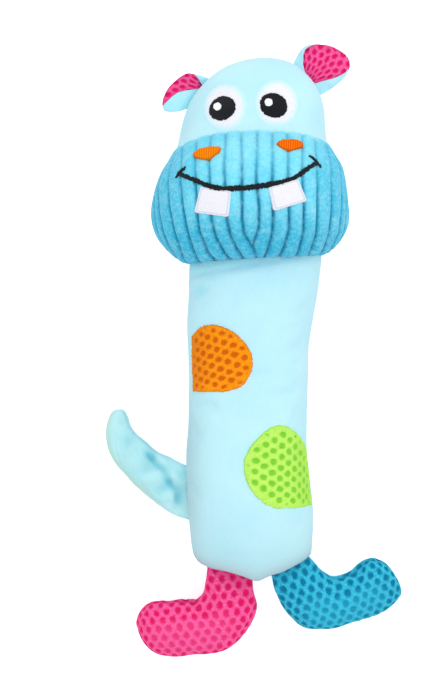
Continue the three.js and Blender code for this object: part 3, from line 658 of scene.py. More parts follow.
bodySet = {
    "halfWidth": 33, "length": 159.5, "height": 31, "depth": 31, "sway": 3, "bow": 14,
    "columns": 120, "rows": 170, "wall": 1.4, "seamDip": 0.7, "uneven": 0.45, "gather": 5.2,
    "bag": {"rows": 37, "columns": 24, "pressure": 4, "reach": 1.1},
    "fold": (-3.1, 0.166),  # the fold's height on the middle line, mm below the neck, and its slope
    # hollows below it: place and size, mm, depth, shade
    "hollows": [[(-29.5, -16.5), (4.5, 3.4), 0.8, 0.3], [(-22, -11.5), (5, 1.8), 0, 0.12]],
    # along, half-width, sway, front, back
    "stations": [
        [0, 1.09, 0.2, 0.97, 0.96], [0.1, 1.065, -0.15, 1, 1], [0.2, 1.035, -0.75, 1, 1],
        [0.3, 0.99, -1.07, 0.985, 1], [0.42, 0.974, -1.1, 0.98, 1], [0.55, 0.974, -1.25, 0.98, 1],
        [0.65, 0.99, -1.4, 0.99, 1], [0.75, 1.006, -1.07, 1, 1], [0.84, 1.02, -0.7, 0.98, 1],
        [0.91, 1.01, -0.55, 0.88, 0.93], [0.955, 0.995, -0.5, 0.7, 0.74], [0.985, 0.98, -0.4, 0.43, 0.46],
        [1, 0.96, -0.4, 0, 0],
    ],
    # how far the bottom seam drops below its corners
    "bottom": [
        [-1, 0], [-0.95, 0.2], [-0.8, 0.44], [-0.48, 0.62], [-0.18, 0.83], [0.03, 1], [0.36, 0.78],
        [0.65, 0.5], [0.88, 0.22], [1, 0],
    ],
}


def bodyForm(s):
    along, width, sway, front, back = np.array(s["stations"]).T
    half = s["halfWidth"] * width
    x, y, bow = sway * s["sway"], -along * s["length"], s["bow"] * np.maximum(0, along * 2 - 1)
    columns = [x, y, half, half * neckTilt * (1 - along), s["height"] * front, s["depth"] * back, bow]
    return form(columns, 2.15, 2.5, tip=False, bottom=s["bottom"])


bodyShape = bodyForm(bodySet)
bodyMoves = stuffedMoves("bodyBag", bodyShape, **bodySet["bag"])


def bodyPanel(s, side):
    skin = stuffedSkin(bodyShape, bodyMoves, side, s["rows"], s["columns"])
    points, arcs, normals, fromSide, fromNeck = skin
    fromEnd = bodyShape["length"] - fromNeck
    dip, neckDip, endDip = bell(fromSide, 1.5), bell(fromNeck, 2.2), bell(fromEnd, 2.5)
    still = ease(fromSide, 0, 8) * ease(fromNeck, 0, 10) * ease(fromEnd, 0, 6)
    swell = s["uneven"] * lumps(points, size=46, seed=3) * still
    # gathers that run out from the neck seam and the bottom seam
    turn = arcs / s["gather"]
    gather = np.sin(turn * 2.1 + 1.3 * np.sin(turn * 0.63)) * np.sin(turn * 0.41 + 0.6)
    swell += 0.35 * gather * np.exp(-fromNeck / 7) * ease(fromNeck, 0, 2)
    swell += 0.45 * gather * np.exp(-fromEnd / 9) * ease(fromEnd, 0, 2)
    x, y = points[..., 0], points[..., 1]
    fold = np.zeros(arcs.shape)
    if side > 0:
        # the fold that the head presses in under the muzzle, deeper to the left, with a band of painted shade
        # along it
        over = y - s["fold"][0] - s["fold"][1] * x
        reach = ease(x, 30, -8)
        swell -= 0.6 * bell(over, 1.7) * reach * ease(fromSide, 0, 4)
        swell += 0.4 * bell(over + 4.5, 2.6) * reach * ease(fromSide, 0, 6)
        fold = 0.28 * ease(over, -2.6, 1.6) * (0.35 + 0.65 * reach)
        for (left, down), (wide, tall), depth, shade in s["hollows"]:
            hollow = np.exp(-(((x - left) / wide) ** 2) - ((y - down) / tall) ** 2)
            swell -= depth * hollow
            fold += shade * hollow
    swell -= s["seamDip"] * dip + 0.25 * neckDip + 0.5 * endDip
    points = points + normals * swell[..., None]
    points[..., 2] = np.maximum(points[..., 2], -neck[2])
    # painted shade tint: greyer towards the floor and along the bottom seam
    fromBottom = points[..., 1] - points[-1:, :, 1]
    low = bell(points[..., 2], 14)
    shadeTint = (0.34 + 0.42 * low) * bell(fromBottom, 7.5) * ease(fromEnd, 60, 40)
    shadeTint += 0.16 * ease(fromEnd, 75, 10) + 0.5 * low * bell(fromBottom, 1.4) * ease(x, 8, -14)
    # painted shade on the body's side beside the tail
    shadeTint += 0.5 * bell(x + 36, 7) * ease(y, -60, -105) * (0.5 + 0.5 * ease(y, -150, -130))
    # painted shade in the side seams, the neck and bottom dips, the fold and the hollows
    shade = 0.5 * dip + 0.25 * neckDip + 0.3 * endDip + fold
    marks = {"dip": np.clip(shade, 0, 1), "shadeTint": np.clip(shadeTint, 0, 1)}
    uvs = np.stack([arcs, -fromNeck], -1)
    name = "bodyFront" if side > 0 else "bodyBack"
    return gridPiece(name, points + neck, uvs, marks, s["wall"], side)


bend = ("torso", "head", (0.0055, 0.0530, 0.0305), (0.0024, 0.0864, 0.0305))
for side, node in ((1, "body_front_panel"), (-1, "body_back_panel")):
    finishPiece(bodyPanel(bodySet, side), plush, [node], bend=bend)
print("body made")

# --- head

headSet = {
    "halfWidth": 53, "length": 109, "height": 62, "depth": 31, "sway": 2.7,
    "columns": 441, "muzzleRows": 66, "faceRows": 100, "backRows": 120, "backColumns": 120,
    "wall": 1.6, "plushWall": 1.2, "wale": 8.2, "waleDepth": 1.0, "waleCrown": 1.15, "waleWidth": 0.81,
    "bag": {"rows": 28, "columns": 30, "pressure": 4, "reach": 1.2},
    # along, half-width, sway, front, back
    "stations": [
        [0, 0.672, 0, 0.49, 0.96], [0.04, 0.797, 0, 0.68, 0.98], [0.085, 0.883, -0.2, 0.8, 1],
        [0.15, 0.957, -0.6, 0.905, 1], [0.24, 0.982, -0.93, 0.98, 1], [0.34, 0.965, -0.9, 1, 1],
        [0.42, 0.923, -0.78, 0.985, 1], [0.495, 0.837, -0.8, 0.915, 1], [0.555, 0.776, -0.66, 0.78, 1],
        [0.61, 0.75, -0.45, 0.63, 1], [0.66, 0.737, -0.3, 0.555, 1], [0.735, 0.708, 0, 0.53, 1],
        [0.815, 0.64, 0.25, 0.48, 0.97], [0.885, 0.53, 0.45, 0.405, 0.85], [0.945, 0.385, 0.6, 0.3, 0.66],
        [0.985, 0.205, 0.65, 0.165, 0.38], [1, 0, 0.7, 0, 0],
    ],
    # arched seam between muzzle and face: across, along
    "seam": [
        [-1.1, 0.5], [-0.86, 0.535], [-0.72, 0.56], [-0.45, 0.6], [-0.2, 0.617], [0.1, 0.62], [0.4, 0.607],
        [0.66, 0.58], [0.82, 0.553], [1.1, 0.52],
    ],
    # grooves between the wales, left to right: x and y from the neck seam's middle, mm
    "grooves": [
        [(-50.8, 36.2), (-50.2, 24.0), (-48.2, 14.8), (-44.2, 6.7), (-41.8, 3.1)],
        [(-45.8, 38.6), (-44.7, 27.0), (-42.2, 14.2), (-39.2, 6.3), (-37.5, 1.0)],
        [(-38.3, 55.1), (-39.1, 37.9), (-37.8, 26.4), (-35.3, 13.8), (-32.8, 5.9), (-29.8, -0.8)],
        [(-30.7, 60.7), (-31.5, 44.8), (-30.0, 20.1), (-29.0, 13.6), (-24.9, 3.8), (-21.3, -1.1)],
        [(-23.3, 62.5), (-24.3, 46.5), (-22.8, 18.9), (-20.7, 11.0), (-16.5, 3.7), (-12.8, -0.7)],
        [(-15.5, 64.0), (-16.6, 46.3), (-16.1, 35.9), (-15.0, 18.8), (-13.0, 10.9), (-9.8, 5.0), (-6.6, 0.8)],
        [(-7.7, 65.0), (-7.3, 18.7), (-6.3, 12.3), (-2.0, 6.4), (-0.2, 3.0), (0.6, -0.5)],
        [(0.7, 66.2), (-0.2, 37.9), (1.3, 25.7), (1.4, 15.7), (-1.6, 6.9), (-0.2, 3.0), (0.6, -0.5)],
        [(8.5, 65.1), (8.0, 37.9), (8.6, 20.2), (8.2, 12.3), (6.3, 5.5), (4.5, 0.8)],
        [(16.4, 64.7), (16.2, 40.7), (16.8, 22.4), (17.0, 14.9), (14.6, 6.5), (12.8, 1.8)],
        [(24.3, 63.4), (23.5, 39.4), (24.6, 26.1), (24.4, 13.6), (22.6, 5.7), (20.9, 0.9)],
        [(31.0, 56.4), (31.5, 39.9), (31.5, 26.4), (31.3, 12.8), (29.0, 5.9), (27.3, 1.6)],
        [(39.2, 46.7), (38.9, 26.9), (38.2, 13.2), (35.2, 4.2), (33.5, 1.4)],
        [(45.0, 41.8), (44.4, 26.0), (43.6, 14.7), (40.6, 8.0), (39.8, 4.5)],
    ],
}


def headForm(s):
    along, width, sway, front, back = np.array(s["stations"]).T
    half = s["halfWidth"] * width
    x, y = sway * s["sway"], along * s["length"]
    return form([x, y, half, half * neckTilt, s["height"] * front, s["depth"] * back, 0 * along], 2.3, 2.7)


headShape = headForm(headSet)
headAt = np.linspace(0, headShape["length"], 420)
headShares = np.linspace(0, 1, headSet["columns"])
headDense, headArcs = skinGrid(headShape, headAt, headShares, 1)
headMoves = stuffedMoves("headBag", headShape, **headSet["bag"])
headDense += movesAt(headMoves[1], headShape, headAt, headShares)
headTree = treeOf((headDense + neck)[::3, ::4])


def seamPlaces(s):
    # how far along the head each column meets the muzzle seam
    seam = np.array(s["seam"]) * [s["halfWidth"], s["length"]]
    over = headDense[..., 1] - smoothAt(seam, np.clip(headDense[..., 0], seam[0, 0], seam[-1, 0]))
    places = np.zeros(over.shape[1])
    for j in range(over.shape[1]):
        i = int(np.argmax(over[:, j] > 0))
        share = over[i - 1, j] / (over[i - 1, j] - over[i, j])
        places[j] = headAt[i - 1] + (headAt[i] - headAt[i - 1]) * share
    return places


def denseAt(values, at):
    # values of the dense head grid at other places along each of its columns
    layers = values.reshape(*values.shape[:2], -1)
    result = np.zeros((*at.shape, layers.shape[2]))
    for j, k in np.ndindex(at.shape[1], layers.shape[2]):
        result[:, j, k] = np.interp(at[:, j], headAt, layers[:, j, k])
    return result.reshape(at.shape + values.shape[2:])


def grooveArcs(s):
    # where each groove crosses each ring of the head, as an arc from the ring's middle
    lines = [np.array(sorted(line, key=lambda p: p[1])) for line in s["grooves"]]
    arcs, drawn = np.zeros((len(headAt), len(lines))), np.zeros((len(headAt), len(lines)), bool)
    for i, row in enumerate(ringsAt(headShape, headAt)):
        width = max(row[2], 1e-3)
        across = np.clip((headDense[i, :, 0] - row[0]) / width, -1, 1)
        for k, line in enumerate(lines):
            x = line[0, 0]
            for _ in range(4):
                x = np.interp(row[1] + neckTilt * (x - row[0]), line[:, 1], line[:, 0])
            y = row[1] + neckTilt * (x - row[0])
            drawn[i, k] = line[0, 1] <= y <= line[-1, 1] and abs(x - row[0]) < 0.985 * width
            arcs[i, k] = -np.interp(-np.clip((x - row[0]) / width, -0.985, 0.985), -across, -headArcs[i])
    # past its ends an outer groove runs on beside its inner neighbour
    places = np.arange(len(headAt))
    last = len(lines) - 1
    for k in (3, 2, 1, 0, last - 3, last - 2, last - 1, last):
        beside = k + 1 if k < 4 else k - 1
        gap = arcs[:, k] - arcs[:, beside]
        arcs[:, k] = arcs[:, beside] + np.interp(places, places[drawn[:, k]], gap[drawn[:, k]])
    more = s["wale"] * np.arange(1, 5)
    left = averaged(arcs[:, 0], 12)[:, None] - more[::-1]
    right = averaged(arcs[:, -1], 12)[:, None] + more
    return np.concatenate([left, np.sort(arcs, axis=1), right], axis=1)


seamAt = seamPlaces(headSet)
grooves = grooveArcs(headSet)


def waleSwell(s, at, arcs):
    # wales stand up between the grooves; returns the swell, how deep in a groove points are, and a painted
    # shade on the wales' shoulders near the grooves
    swell, depth, shoulderShade = np.zeros((3, *at.shape))
    for j in range(at.shape[1]):
        lines = np.stack([np.interp(at[:, j], headAt, groove) for groove in grooves.T], 1)
        near, far = np.sort(np.abs(lines - arcs[:, j, None]), axis=1)[:, :2].T
        depth[:, j] = bell(near, s["waleWidth"])
        shoulderShade[:, j] = 0.28 * bell(near, 2.0)
        across = np.clip(2 * near / np.maximum(near + far, 1e-6), 0, 1)
        swell[:, j] = s["waleCrown"] * np.sqrt(1 - (1 - across) ** 2) - s["waleDepth"] * depth[:, j]
    return swell, depth, shoulderShade


def muzzlePiece(s):
    share = np.linspace(0, 1, s["muzzleRows"])
    at = share[:, None] * seamAt[None, :]
    points = denseAt(headDense, at)
    arcs = denseAt(headArcs, at)
    normals = gridNormals(points, 1)
    fromSeam = seamAt[None, :] - at
    fromSide = fromSides(arcs)
    swell, depth, shoulderShade = waleSwell(s, at, arcs)
    neckDip, sideDip = bell(at, 2.6), bell(fromSide, 1.6)
    # the grooves are shallow at the top of the muzzle
    faint = (0.4 + 0.6 * ease(fromSeam, 22, 52)) * ease(fromSeam, 0, 4.5)
    swell *= (0.3 + 0.7 * faint) * (0.15 + 0.85 * ease(fromSeam, 0, 5)) * (1 - 0.55 * neckDip)
    uneven = 0.35 * lumps(points, size=30, seed=11) - 0.2 + 0.35 * ease(fromSide, 2, 20)
    swell += uneven * ease(fromSeam, 0, 6)
    swell += 0.08 * lumps(points, size=2.2, seed=12)
    swell -= 0.15 * neckDip + 0.8 * sideDip
    points = points + normals * swell[..., None]
    # painted shade: how far the muzzle turns down and aside, away from the light
    down = np.maximum(ease(-points[..., 1], -32, -6), 0.75 * ease(np.abs(points[..., 0] + 2), 26, 44))
    # the dip mark holds painted shade in the grooves, on the wales' shoulders and at the neck and side seams,
    # together with the grooves' bare cloth
    marks = {
        "dip": np.clip((0.85 * depth + shoulderShade) * faint + 0.15 * neckDip + 0.3 * sideDip, 0, 1),
        "down": down,
        "over": 1.4 * bell(fromSeam, 4.2) + 0.5 * bell(fromSide, 4) * (1 - down),
    }
    points = points + neck
    return gridPiece("muzzle", points, np.stack([arcs, at], -1), marks, s["wall"]), points


def facePiece(s):
    seam = seamAt[None, ::2]
    at = seam + np.linspace(0, 1, s["faceRows"])[:, None] * (headShape["length"] - seam)
    points = denseAt(headDense[:, ::2], at)
    arcs = denseAt(headArcs[:, ::2], at)
    normals = gridNormals(points, 1)
    fromSeam = at - seam
    fromSide = fromSides(arcs)
    sideDip = bell(fromSide, 1.6)
    calm = ease(fromSide, 0, 7) * ease(fromSeam, 0, 6)
    swell = 0.4 * lumps(points, size=38, seed=21) * calm - 0.8 * sideDip
    points = points + normals * swell[..., None] + neck
    # painted shade along the side seams
    marks = {"dip": np.clip(0.3 * sideDip, 0, 1)}
    return gridPiece("face", points, np.stack([arcs, at], -1), marks, s["plushWall"]), points


def headBackPiece(s):
    skin = stuffedSkin(headShape, headMoves, -1, s["backRows"], s["backColumns"])
    points, arcs, normals, fromSide, fromNeck = skin
    sideDip, neckDip = bell(fromSide, 1.5), bell(fromNeck, 2.2)
    calm = ease(fromSide, 0, 7) * ease(fromNeck, 0, 8)
    swell = 0.4 * lumps(points, size=42, seed=31) * calm - 0.8 * sideDip - 0.25 * neckDip
    points = points + normals * swell[..., None]
    points[..., 2] = np.maximum(points[..., 2], -neck[2])
    # painted shade along the side and neck seams
    marks = {"dip": np.clip(0.6 * sideDip + 0.5 * neckDip, 0, 1)}
    return gridPiece("headBack", points + neck, np.stack([arcs, fromNeck], -1), marks, s["plushWall"], -1)


muzzle, muzzlePoints = muzzlePiece(headSet)
finishPiece(muzzle, corduroy, ["muzzle_panel"], "head")
face, facePoints = facePiece(headSet)
faceTree = treeOf(facePoints[:, ::2], muzzlePoints[-12:, ::2])
muzzleTree = treeOf(muzzlePoints[:, ::2])
finishPiece(face, plush, ["face_panel"], "head")
finishPiece(headBackPiece(headSet), plush, ["head_back_panel"], "head")
print("head made")

# --- pieces laid on the skins

def curveThrough(points, count, closed=False):
    points = np.asarray(points, float)
    if closed:
        points = np.concatenate([points[-2:], points, points[:3]])
    knots = lengthsAlong(points)
    if closed:
        return rowsAt(knots, points, np.linspace(knots[2], knots[-3], count + 1))[:count]
    return rowsAt(knots, points, np.linspace(0, knots[-1], count))


def layPiece(name, outline, tree, lift, rows, rim, sink, ragged, seed, border=None, crown=0.0, soft=0.45):
    # a thin sheet over a skin: closed, thick in the middle and rounded down at its rim
    outline = np.asarray(outline, float)
    middle = outline.mean(0)
    if ragged:
        chance = np.random.default_rng(seed)
        reach = np.linalg.norm(outline - middle, axis=1, keepdims=True)
        push = 1 + ragged * (chance.random((len(outline), 1)) - 0.5) / reach
        outline = middle + (outline - middle) * push
    size = np.linalg.norm(outline - middle, axis=1).mean()
    share = np.concatenate([np.linspace(0, 1, rows) ** 0.8, [1.0, 0.97, 0.5, 0.0]])
    ring = np.concatenate([outline, outline[:1]])
    flat = middle + share[:, None, None] * (ring[None] - middle)
    points, normals = layOn(tree, flat)
    fromRim = (1 - share) * size
    height = lift * np.sqrt(np.clip(1 - (1 - np.clip(fromRim / rim, 0, 1)) ** 2, 0, 1))
    height += crown * np.clip(1 - share**2, 0, 1)
    dip = bell(fromRim, soft) * (0.8 if soft < 1 else 1)
    if border is not None:
        line = bell(fromRim - border, 0.3)
        height -= 0.3 * line
        dip = np.maximum(dip * 0.4, line)
    height[rows:] = -sink
    points = points + normals * height[:, None, None]
    marks = {"dip": dip, "rim": bell(fromRim, 2.0)}
    marks = {key: np.broadcast_to(values[:, None], flat.shape[:2]) for key, values in marks.items()}
    return gridPiece(name, points, flat - middle, marks, side=None)


def ovalPoints(width, height, x, y, turn, count):
    angle = np.linspace(0, 2 * math.pi, count, endpoint=False)
    a, b = np.cos(angle) * width / 2, np.sin(angle) * height / 2
    c, s = math.cos(turn), math.sin(turn)
    return np.stack([x + a * c - b * s, y + a * s + b * c], 1)


eyeSet = {
    # width, height, place across and along, turn
    "left": {
        "white": (23.4, 26.8, -16.0, 79.2, 0.1),
        "pupil": (14.8, 13.2, -17.3, 78.4, 0.6),
        "glint": (4.8, 4.5, -19.7, 79.2, 0.9),
    },
    "right": {
        "white": (24.0, 26.6, 11.2, 80.9, -0.15),
        "pupil": (15.2, 13.6, 9.5, 79.7, -0.45),
        "glint": (4.8, 4.6, 6.8, 81.1, 0.3),
    },
    "points": {"white": 96, "pupil": 110, "glint": 30},
    # what is laid over what; the white's rim fades far in
    "layers": {
        "white": {"lift": 0.35, "rows": 26, "rim": 4.5, "ragged": 0, "seed": 101, "soft": 2.6},
        "pupil": {"lift": 0.85, "rows": 12, "rim": 0.6, "ragged": 0.55, "seed": 115, "soft": 0.3},
        "glint": {"lift": 1.2, "rows": 6, "rim": 0.4, "ragged": 0.25, "seed": 35, "soft": 0.3},
    },
    "sink": 0.6,
}


def eyePieces(s, side):
    for key, node, material, slotName in (
        ("white", "eye_white", eyeFelt, "embroidery_white"),
        ("pupil", "pupil", inkSatin, "embroidery_black"),
        ("glint", "highlight", glintSatin, "embroidery_white"),
    ):
        width, height, x, y, turn = s[side][key]
        outline = ovalPoints(width, height, x + neck[0], y + neck[1], turn, s["points"][key])
        name = side + "Eye" + key.capitalize()
        piece = layPiece(name, outline, faceTree, sink=s["sink"], **s["layers"][key])
        finishPiece(piece, material, [side + "_" + node], "head")


eyePieces(eyeSet, "left")
eyePieces(eyeSet, "right")

nostrilSet = {
    "left": [
        (-32.3, 51.8), (-31.0, 53.4), (-28.1, 54.8), (-24.4, 55.3), (-20.3, 55.3), (-17.5, 54.6),
        (-18.3, 52.6), (-20.6, 50.7), (-22.8, 49.3), (-25.0, 48.7), (-27.8, 49.1), (-30.8, 50.2),
    ],
    "right": [
        (10.1, 56.9), (11.9, 58.3), (15.7, 59.1), (20.2, 59.2), (23.3, 58.1), (24.4, 56.7), (22.9, 55.1),
        (20.2, 54.0), (16.9, 53.2), (13.6, 53.8), (11.4, 55.0),
    ],
    "layer": {"lift": 1.9, "rows": 10, "rim": 0.7, "sink": 1.8, "ragged": 0.55, "seed": 31, "crown": 0.25},
}
for side in ("left", "right"):
    outline = curveThrough(nostrilSet[side], count=84, closed=True) + neck[:2]
    piece = layPiece(side + "Nostril", outline, headTree, **nostrilSet["layer"])
    finishPiece(piece, nostrilSatins[side], [side + "_nostril"], "head")

toothSet = {
    "left": [(-28.2, 35.3), (-12.5, 33.0), (-13.9, 19.8), (-31.7, 22.4)],
    "right": [(5.7, 34.6), (20.9, 39.3), (25.9, 28.2), (8.5, 22.7)],
    "corners": (0.5, 0.5, 1.6, 1.6),
    "layer": {"lift": 1.9, "rows": 34, "rim": 1.0, "sink": 1.7, "ragged": 0.12, "seed": 7, "border": 1.35},
}


def toothOutline(corners, radii, count):
    # a quadrilateral with rounded corners, the lower two rounder
    corners = np.array(corners)
    points = []

    def towards(start, end, far):
        return start + (end - start) / np.linalg.norm(end - start) * far

    for i in range(4):
        before, here, after = corners[i - 1], corners[i], corners[(i + 1) % 4]
        a, b = towards(here, before, radii[i]), towards(here, after, radii[i])
        c = towards(after, here, radii[(i + 1) % 4])
        for t in np.linspace(0, 1, 8, endpoint=False):
            points.append(a * (1 - t) ** 2 + here * 2 * t * (1 - t) + b * t * t)
        for t in np.linspace(0, 1, count, endpoint=False):
            points.append(b * (1 - t) + c * t)
    return np.array(points)


for side in ("left", "right"):
    outline = toothOutline(toothSet[side], toothSet["corners"], count=24) + neck[:2]
    piece = layPiece(side + "Tooth", outline, headTree, **toothSet["layer"])
    finishPiece(piece, toothFelt, [side + "_tooth"], "head")

smileSet = {
    "mouth": [
        (-39.4, 42.6), (-35.8, 40.9), (-32.0, 39.1), (-27.0, 36.7), (-22.5, 34.9), (-16.0, 33.9),
        (-8.9, 34.1), (-2.3, 34.6), (4.9, 35.6), (11.6, 36.9), (17.8, 39.0), (21.8, 41.3), (25.4, 44.2),
        (31.0, 48.0),
    ],
    "ticks": [
        [(-40.8, 40.9), (-39.8, 42.6), (-37.8, 44.2), (-36.0, 45.3)],
        [(27.2, 51.2), (29.6, 49.7), (31.3, 48.0), (33.0, 46.0)],
    ],
    "widths": (3.1, 2.4, 2.4), "pitch": 0.5, "thread": 0.46, "slant": 1.2, "lift": 0.3,
}


def smilePiece(s):
    # one stitch, copied along the line side by side
    bpy.ops.object.select_all(action="DESELECT")
    bpy.ops.mesh.primitive_uv_sphere_add(segments=8, ring_count=6, radius=1, rotation=(0, math.pi / 2, 0))
    stitch = bpy.context.object
    bpy.ops.object.transform_apply(location=False, rotation=True, scale=True)
    shape = np.array([v.co for v in stitch.data.vertices])
    shape[:, 0] = np.sign(shape[:, 0]) * np.abs(shape[:, 0]) ** 0.8
    shape[:, 2] -= 0.5 * shape[:, 0] ** 2
    chance = np.random.default_rng(17)
    copies = []
    for line, width in zip([s["mouth"], *s["ticks"]], s["widths"]):
        path = curveThrough(line, 400) + neck[:2]
        bed = layOn(headTree, path)[0]
        steps = lengthsAlong(bed)
        count = int(steps[-1] / s["pitch"])
        at = np.linspace(0, steps[-1], count)
        flat = np.stack([np.interp(at, steps, path[:, k]) for k in (0, 1)], -1)
        turn = np.arctan2(np.gradient(flat[:, 1]), np.gradient(flat[:, 0]))
        flat += np.stack([-np.sin(turn), np.cos(turn)], -1) * 0.5 * (chance.random((count, 1)) - 0.5)
        hits, normals = layOn(headTree, flat)
        # the thread lies on the wales and bridges the grooves
        rise = ((layOn(muzzleTree, flat)[0] - hits) * normals).sum(-1)
        rise = averaged(np.array([rise[max(0, k - 3):k + 4].max() for k in range(count)]), 3)
        for k in range(count):
            taper = 0.6 + 0.4 * math.sin(math.pi * (k / (count - 1))) ** 0.7
            half = width / 2 * taper * (0.8 + 0.42 * chance.random())
            angle = turn[k] + s["slant"] + 0.12 * (chance.random() - 0.5)
            thick = s["thread"] * (0.95 + 0.15 * chance.random())
            out = Vector(normals[k])
            side = Vector((math.cos(angle), math.sin(angle), 0))
            side = (side - out * side.dot(out)).normalized()
            sized = (shape * [half, thick, thick * 1.1]) @ np.array([side, out.cross(side), out])
            copy = stitch.copy()
            copy.data = stitch.data.copy()
            bpy.context.collection.objects.link(copy)
            writeAll(copy.data.vertices, "co", (sized + hits[k] + normals[k] * (rise[k] + s["lift"])) * mm)
            copies.append(copy)
    bpy.data.objects.remove(stitch)
    return joined(copies, "smile")


finishPiece(smilePiece(smileSet), inkSatin, ["smile"], "head")
print("face details made")

# --- patches on the body

def holeDepth(uv):
    # the mesh cloth's holes at its own coordinates, from 0 on a bar to 1 in a hole
    cells = uv / [meshCloth["columns"], meshCloth["rows"]]
    reach = [np.linalg.norm((np.mod(cells + start, 1) - 0.5) * cellSizes, axis=-1) for start in (0, 0.5)]
    return 1 - ease(np.minimum(*reach), 0.55, 1.15)


bodyAt, bodyShares = np.linspace(0, bodyShape["length"], 140), np.linspace(0, 1, 90)
bodyDense, _ = skinGrid(bodyShape, bodyAt, bodyShares)
bodyDense += movesAt(bodyMoves[1], bodyShape, bodyAt, bodyShares)
bodyTree = treeOf(bodyDense + neck)

patchSet = {
    # "inset" is the strip of plush beside a patch, and "squeeze" how much closer the rows of holes are
    "orange": {
        "side": -1, "along": 0.334, "reach": 32.0, "height": 35.6, "turn": 12, "squeeze": 1.15, "inset": 2.8,
        "shares": [
            [0, 0.34], [0.13, 0.46], [0.29, 0.505], [0.5, 0.475], [0.74, 0.355], [0.9, 0.19],
            [0.985, -0.015], [0.94, -0.22], [0.8, -0.4], [0.58, -0.48], [0.32, -0.49], [0, -0.49],
        ],
    },
    "green": {
        "side": 1, "along": 0.689, "reach": 34.2, "height": 43.7, "turn": -4, "squeeze": 1.03, "inset": 1.3,
        "shares": [
            [0, 0.2], [0.04, 0.28], [0.1, 0.345], [0.2, 0.425], [0.31, 0.48], [0.43, 0.497], [0.55, 0.47],
            [0.67, 0.4], [0.81, 0.29], [0.91, 0.18], [0.985, 0.02], [0.98, -0.115], [0.935, -0.25],
            [0.84, -0.37], [0.71, -0.465], [0.58, -0.507], [0.4, -0.515], [0.2, -0.515], [0, -0.5],
        ],
    },
    "layer": {"lift": 1.0, "rows": 40, "rim": 0.9, "sink": 0.7, "ragged": 0.55, "seed": 41},
}


def bodySide(along, side):
    rows = ringsAt(bodyShape, bodyAt)
    order = np.argsort(-rows[:, 1])
    return np.interp(along * bodySet["length"], -rows[order, 1], rows[order, 0] + side * rows[order, 2])


def patchPiece(s, name):
    p = s[name]
    points = []
    for inward, rise in p["shares"]:
        along = p["along"] - rise * p["height"] / bodySet["length"]
        x = bodySide(along, p["side"]) - p["side"] * (p["inset"] + inward * p["reach"])
        points.append((x, -along * bodySet["length"]))
    curve = curveThrough(points, 150)
    closing = np.linspace(curve[-1], curve[0], 42)[1:-1]
    closing[:, 0] += p["side"] * 0.25 * np.sin(np.linspace(0, math.pi, 40))
    outline = np.concatenate([curve, closing]) + neck[:2]
    piece = layPiece(name + "Patch", outline, bodyTree, **s["layer"])
    # the cloth's coordinates follow the skin's curve, so that its holes narrow towards the side
    mesh = piece.data
    flat = readAll(mesh.vertices, "co", 3) / mm
    reach = bodySet["halfWidth"] * 0.985
    across = np.clip((flat[:, 0] - (neck[0] - 3.3)) / reach, -0.998, 0.998)
    arc = np.arcsin(across) * reach
    turn = math.radians(p["turn"])
    along = (flat[:, 1] * math.cos(turn) - arc * math.sin(turn)) * p["squeeze"]
    cloth = np.stack([arc * math.cos(turn) + flat[:, 1] * math.sin(turn), along], 1)
    writeAll(mesh.uv_layers[0].data, "uv", cloth[readAll(mesh.loops, "vertex_index", 1, np.int32)])
    # painted shade where the patch turns down towards the body's side, added to its stitched rim's darkening
    dips = mesh.attributes["dip"].data
    writeAll(dips, "value", np.maximum(readAll(dips, "value"), 0.42 * ease(np.abs(across), 0.6, 0.96)))
    # real hollows under the holes
    flat += np.array([0, 0, -0.4]) * (holeDepth(cloth) * (flat[:, 2] > neck[2]))[:, None]
    writeAll(mesh.vertices, "co", flat * mm)
    mesh.update()
    return piece


for name in ("orange", "green"):
    finishPiece(patchPiece(patchSet, name), meshes[name], [name + "_patch"], "torso")
print("patches made")

# --- limbs

def bottomSeam(across):
    row = bodyShape["table"][-1]
    across = np.asarray(across, float)
    drop = row[6] * smoothAt(bodySet["bottom"], across)
    return np.stack([row[0] + row[2] * across, row[1] + row[3] * across - drop, np.zeros_like(across)], -1)


def sideSeam(shape, along, side):
    # seam points at shares of a form's length, on one side of it
    at = np.linspace(0, shape["length"], 500)
    share = np.abs(ringsAt(shape, at)[:, 1]) / abs(shape["table"][-1, 1])
    rows = ringsAt(shape, np.interp(along, share, at))
    y = rows[:, 1] + side * rows[:, 3]
    if shape["bottom"] is not None:
        y -= rows[:, 6] * smoothAt(shape["bottom"], np.full(len(rows), float(side)))
    return np.stack([rows[:, 0] + side * rows[:, 2], y, np.zeros(len(rows))], -1)


def limbFrame(seam, side, droop, rootThickness):
    # flat frame on a stretch of seam: x along its chord, y out from it, z to the front
    a, b = seam[0], seam[-1]
    x = (b - a) / np.linalg.norm(b - a)
    y = np.array([-x[1], x[0], 0])
    up = np.array([0, 0, 1.0])
    bulge = ((seam - a) @ (y * side)).max()
    origin = (a + b) / 2 + y * side * (bulge + rootThickness / 2 + clearance) + neck
    turned = math.radians(droop)
    return {
        "origin": origin,
        "x": x,
        "y": y * math.cos(turned) + up * math.sin(turned),
        "z": up * math.cos(turned) - y * math.sin(turned),
        "seam": seam + neck,
    }


def toWorld(place, points):
    x, y, z = points[..., :1], points[..., 1:2], points[..., 2:]
    return place["origin"] + x * place["x"] + y * place["y"] + z * place["z"]


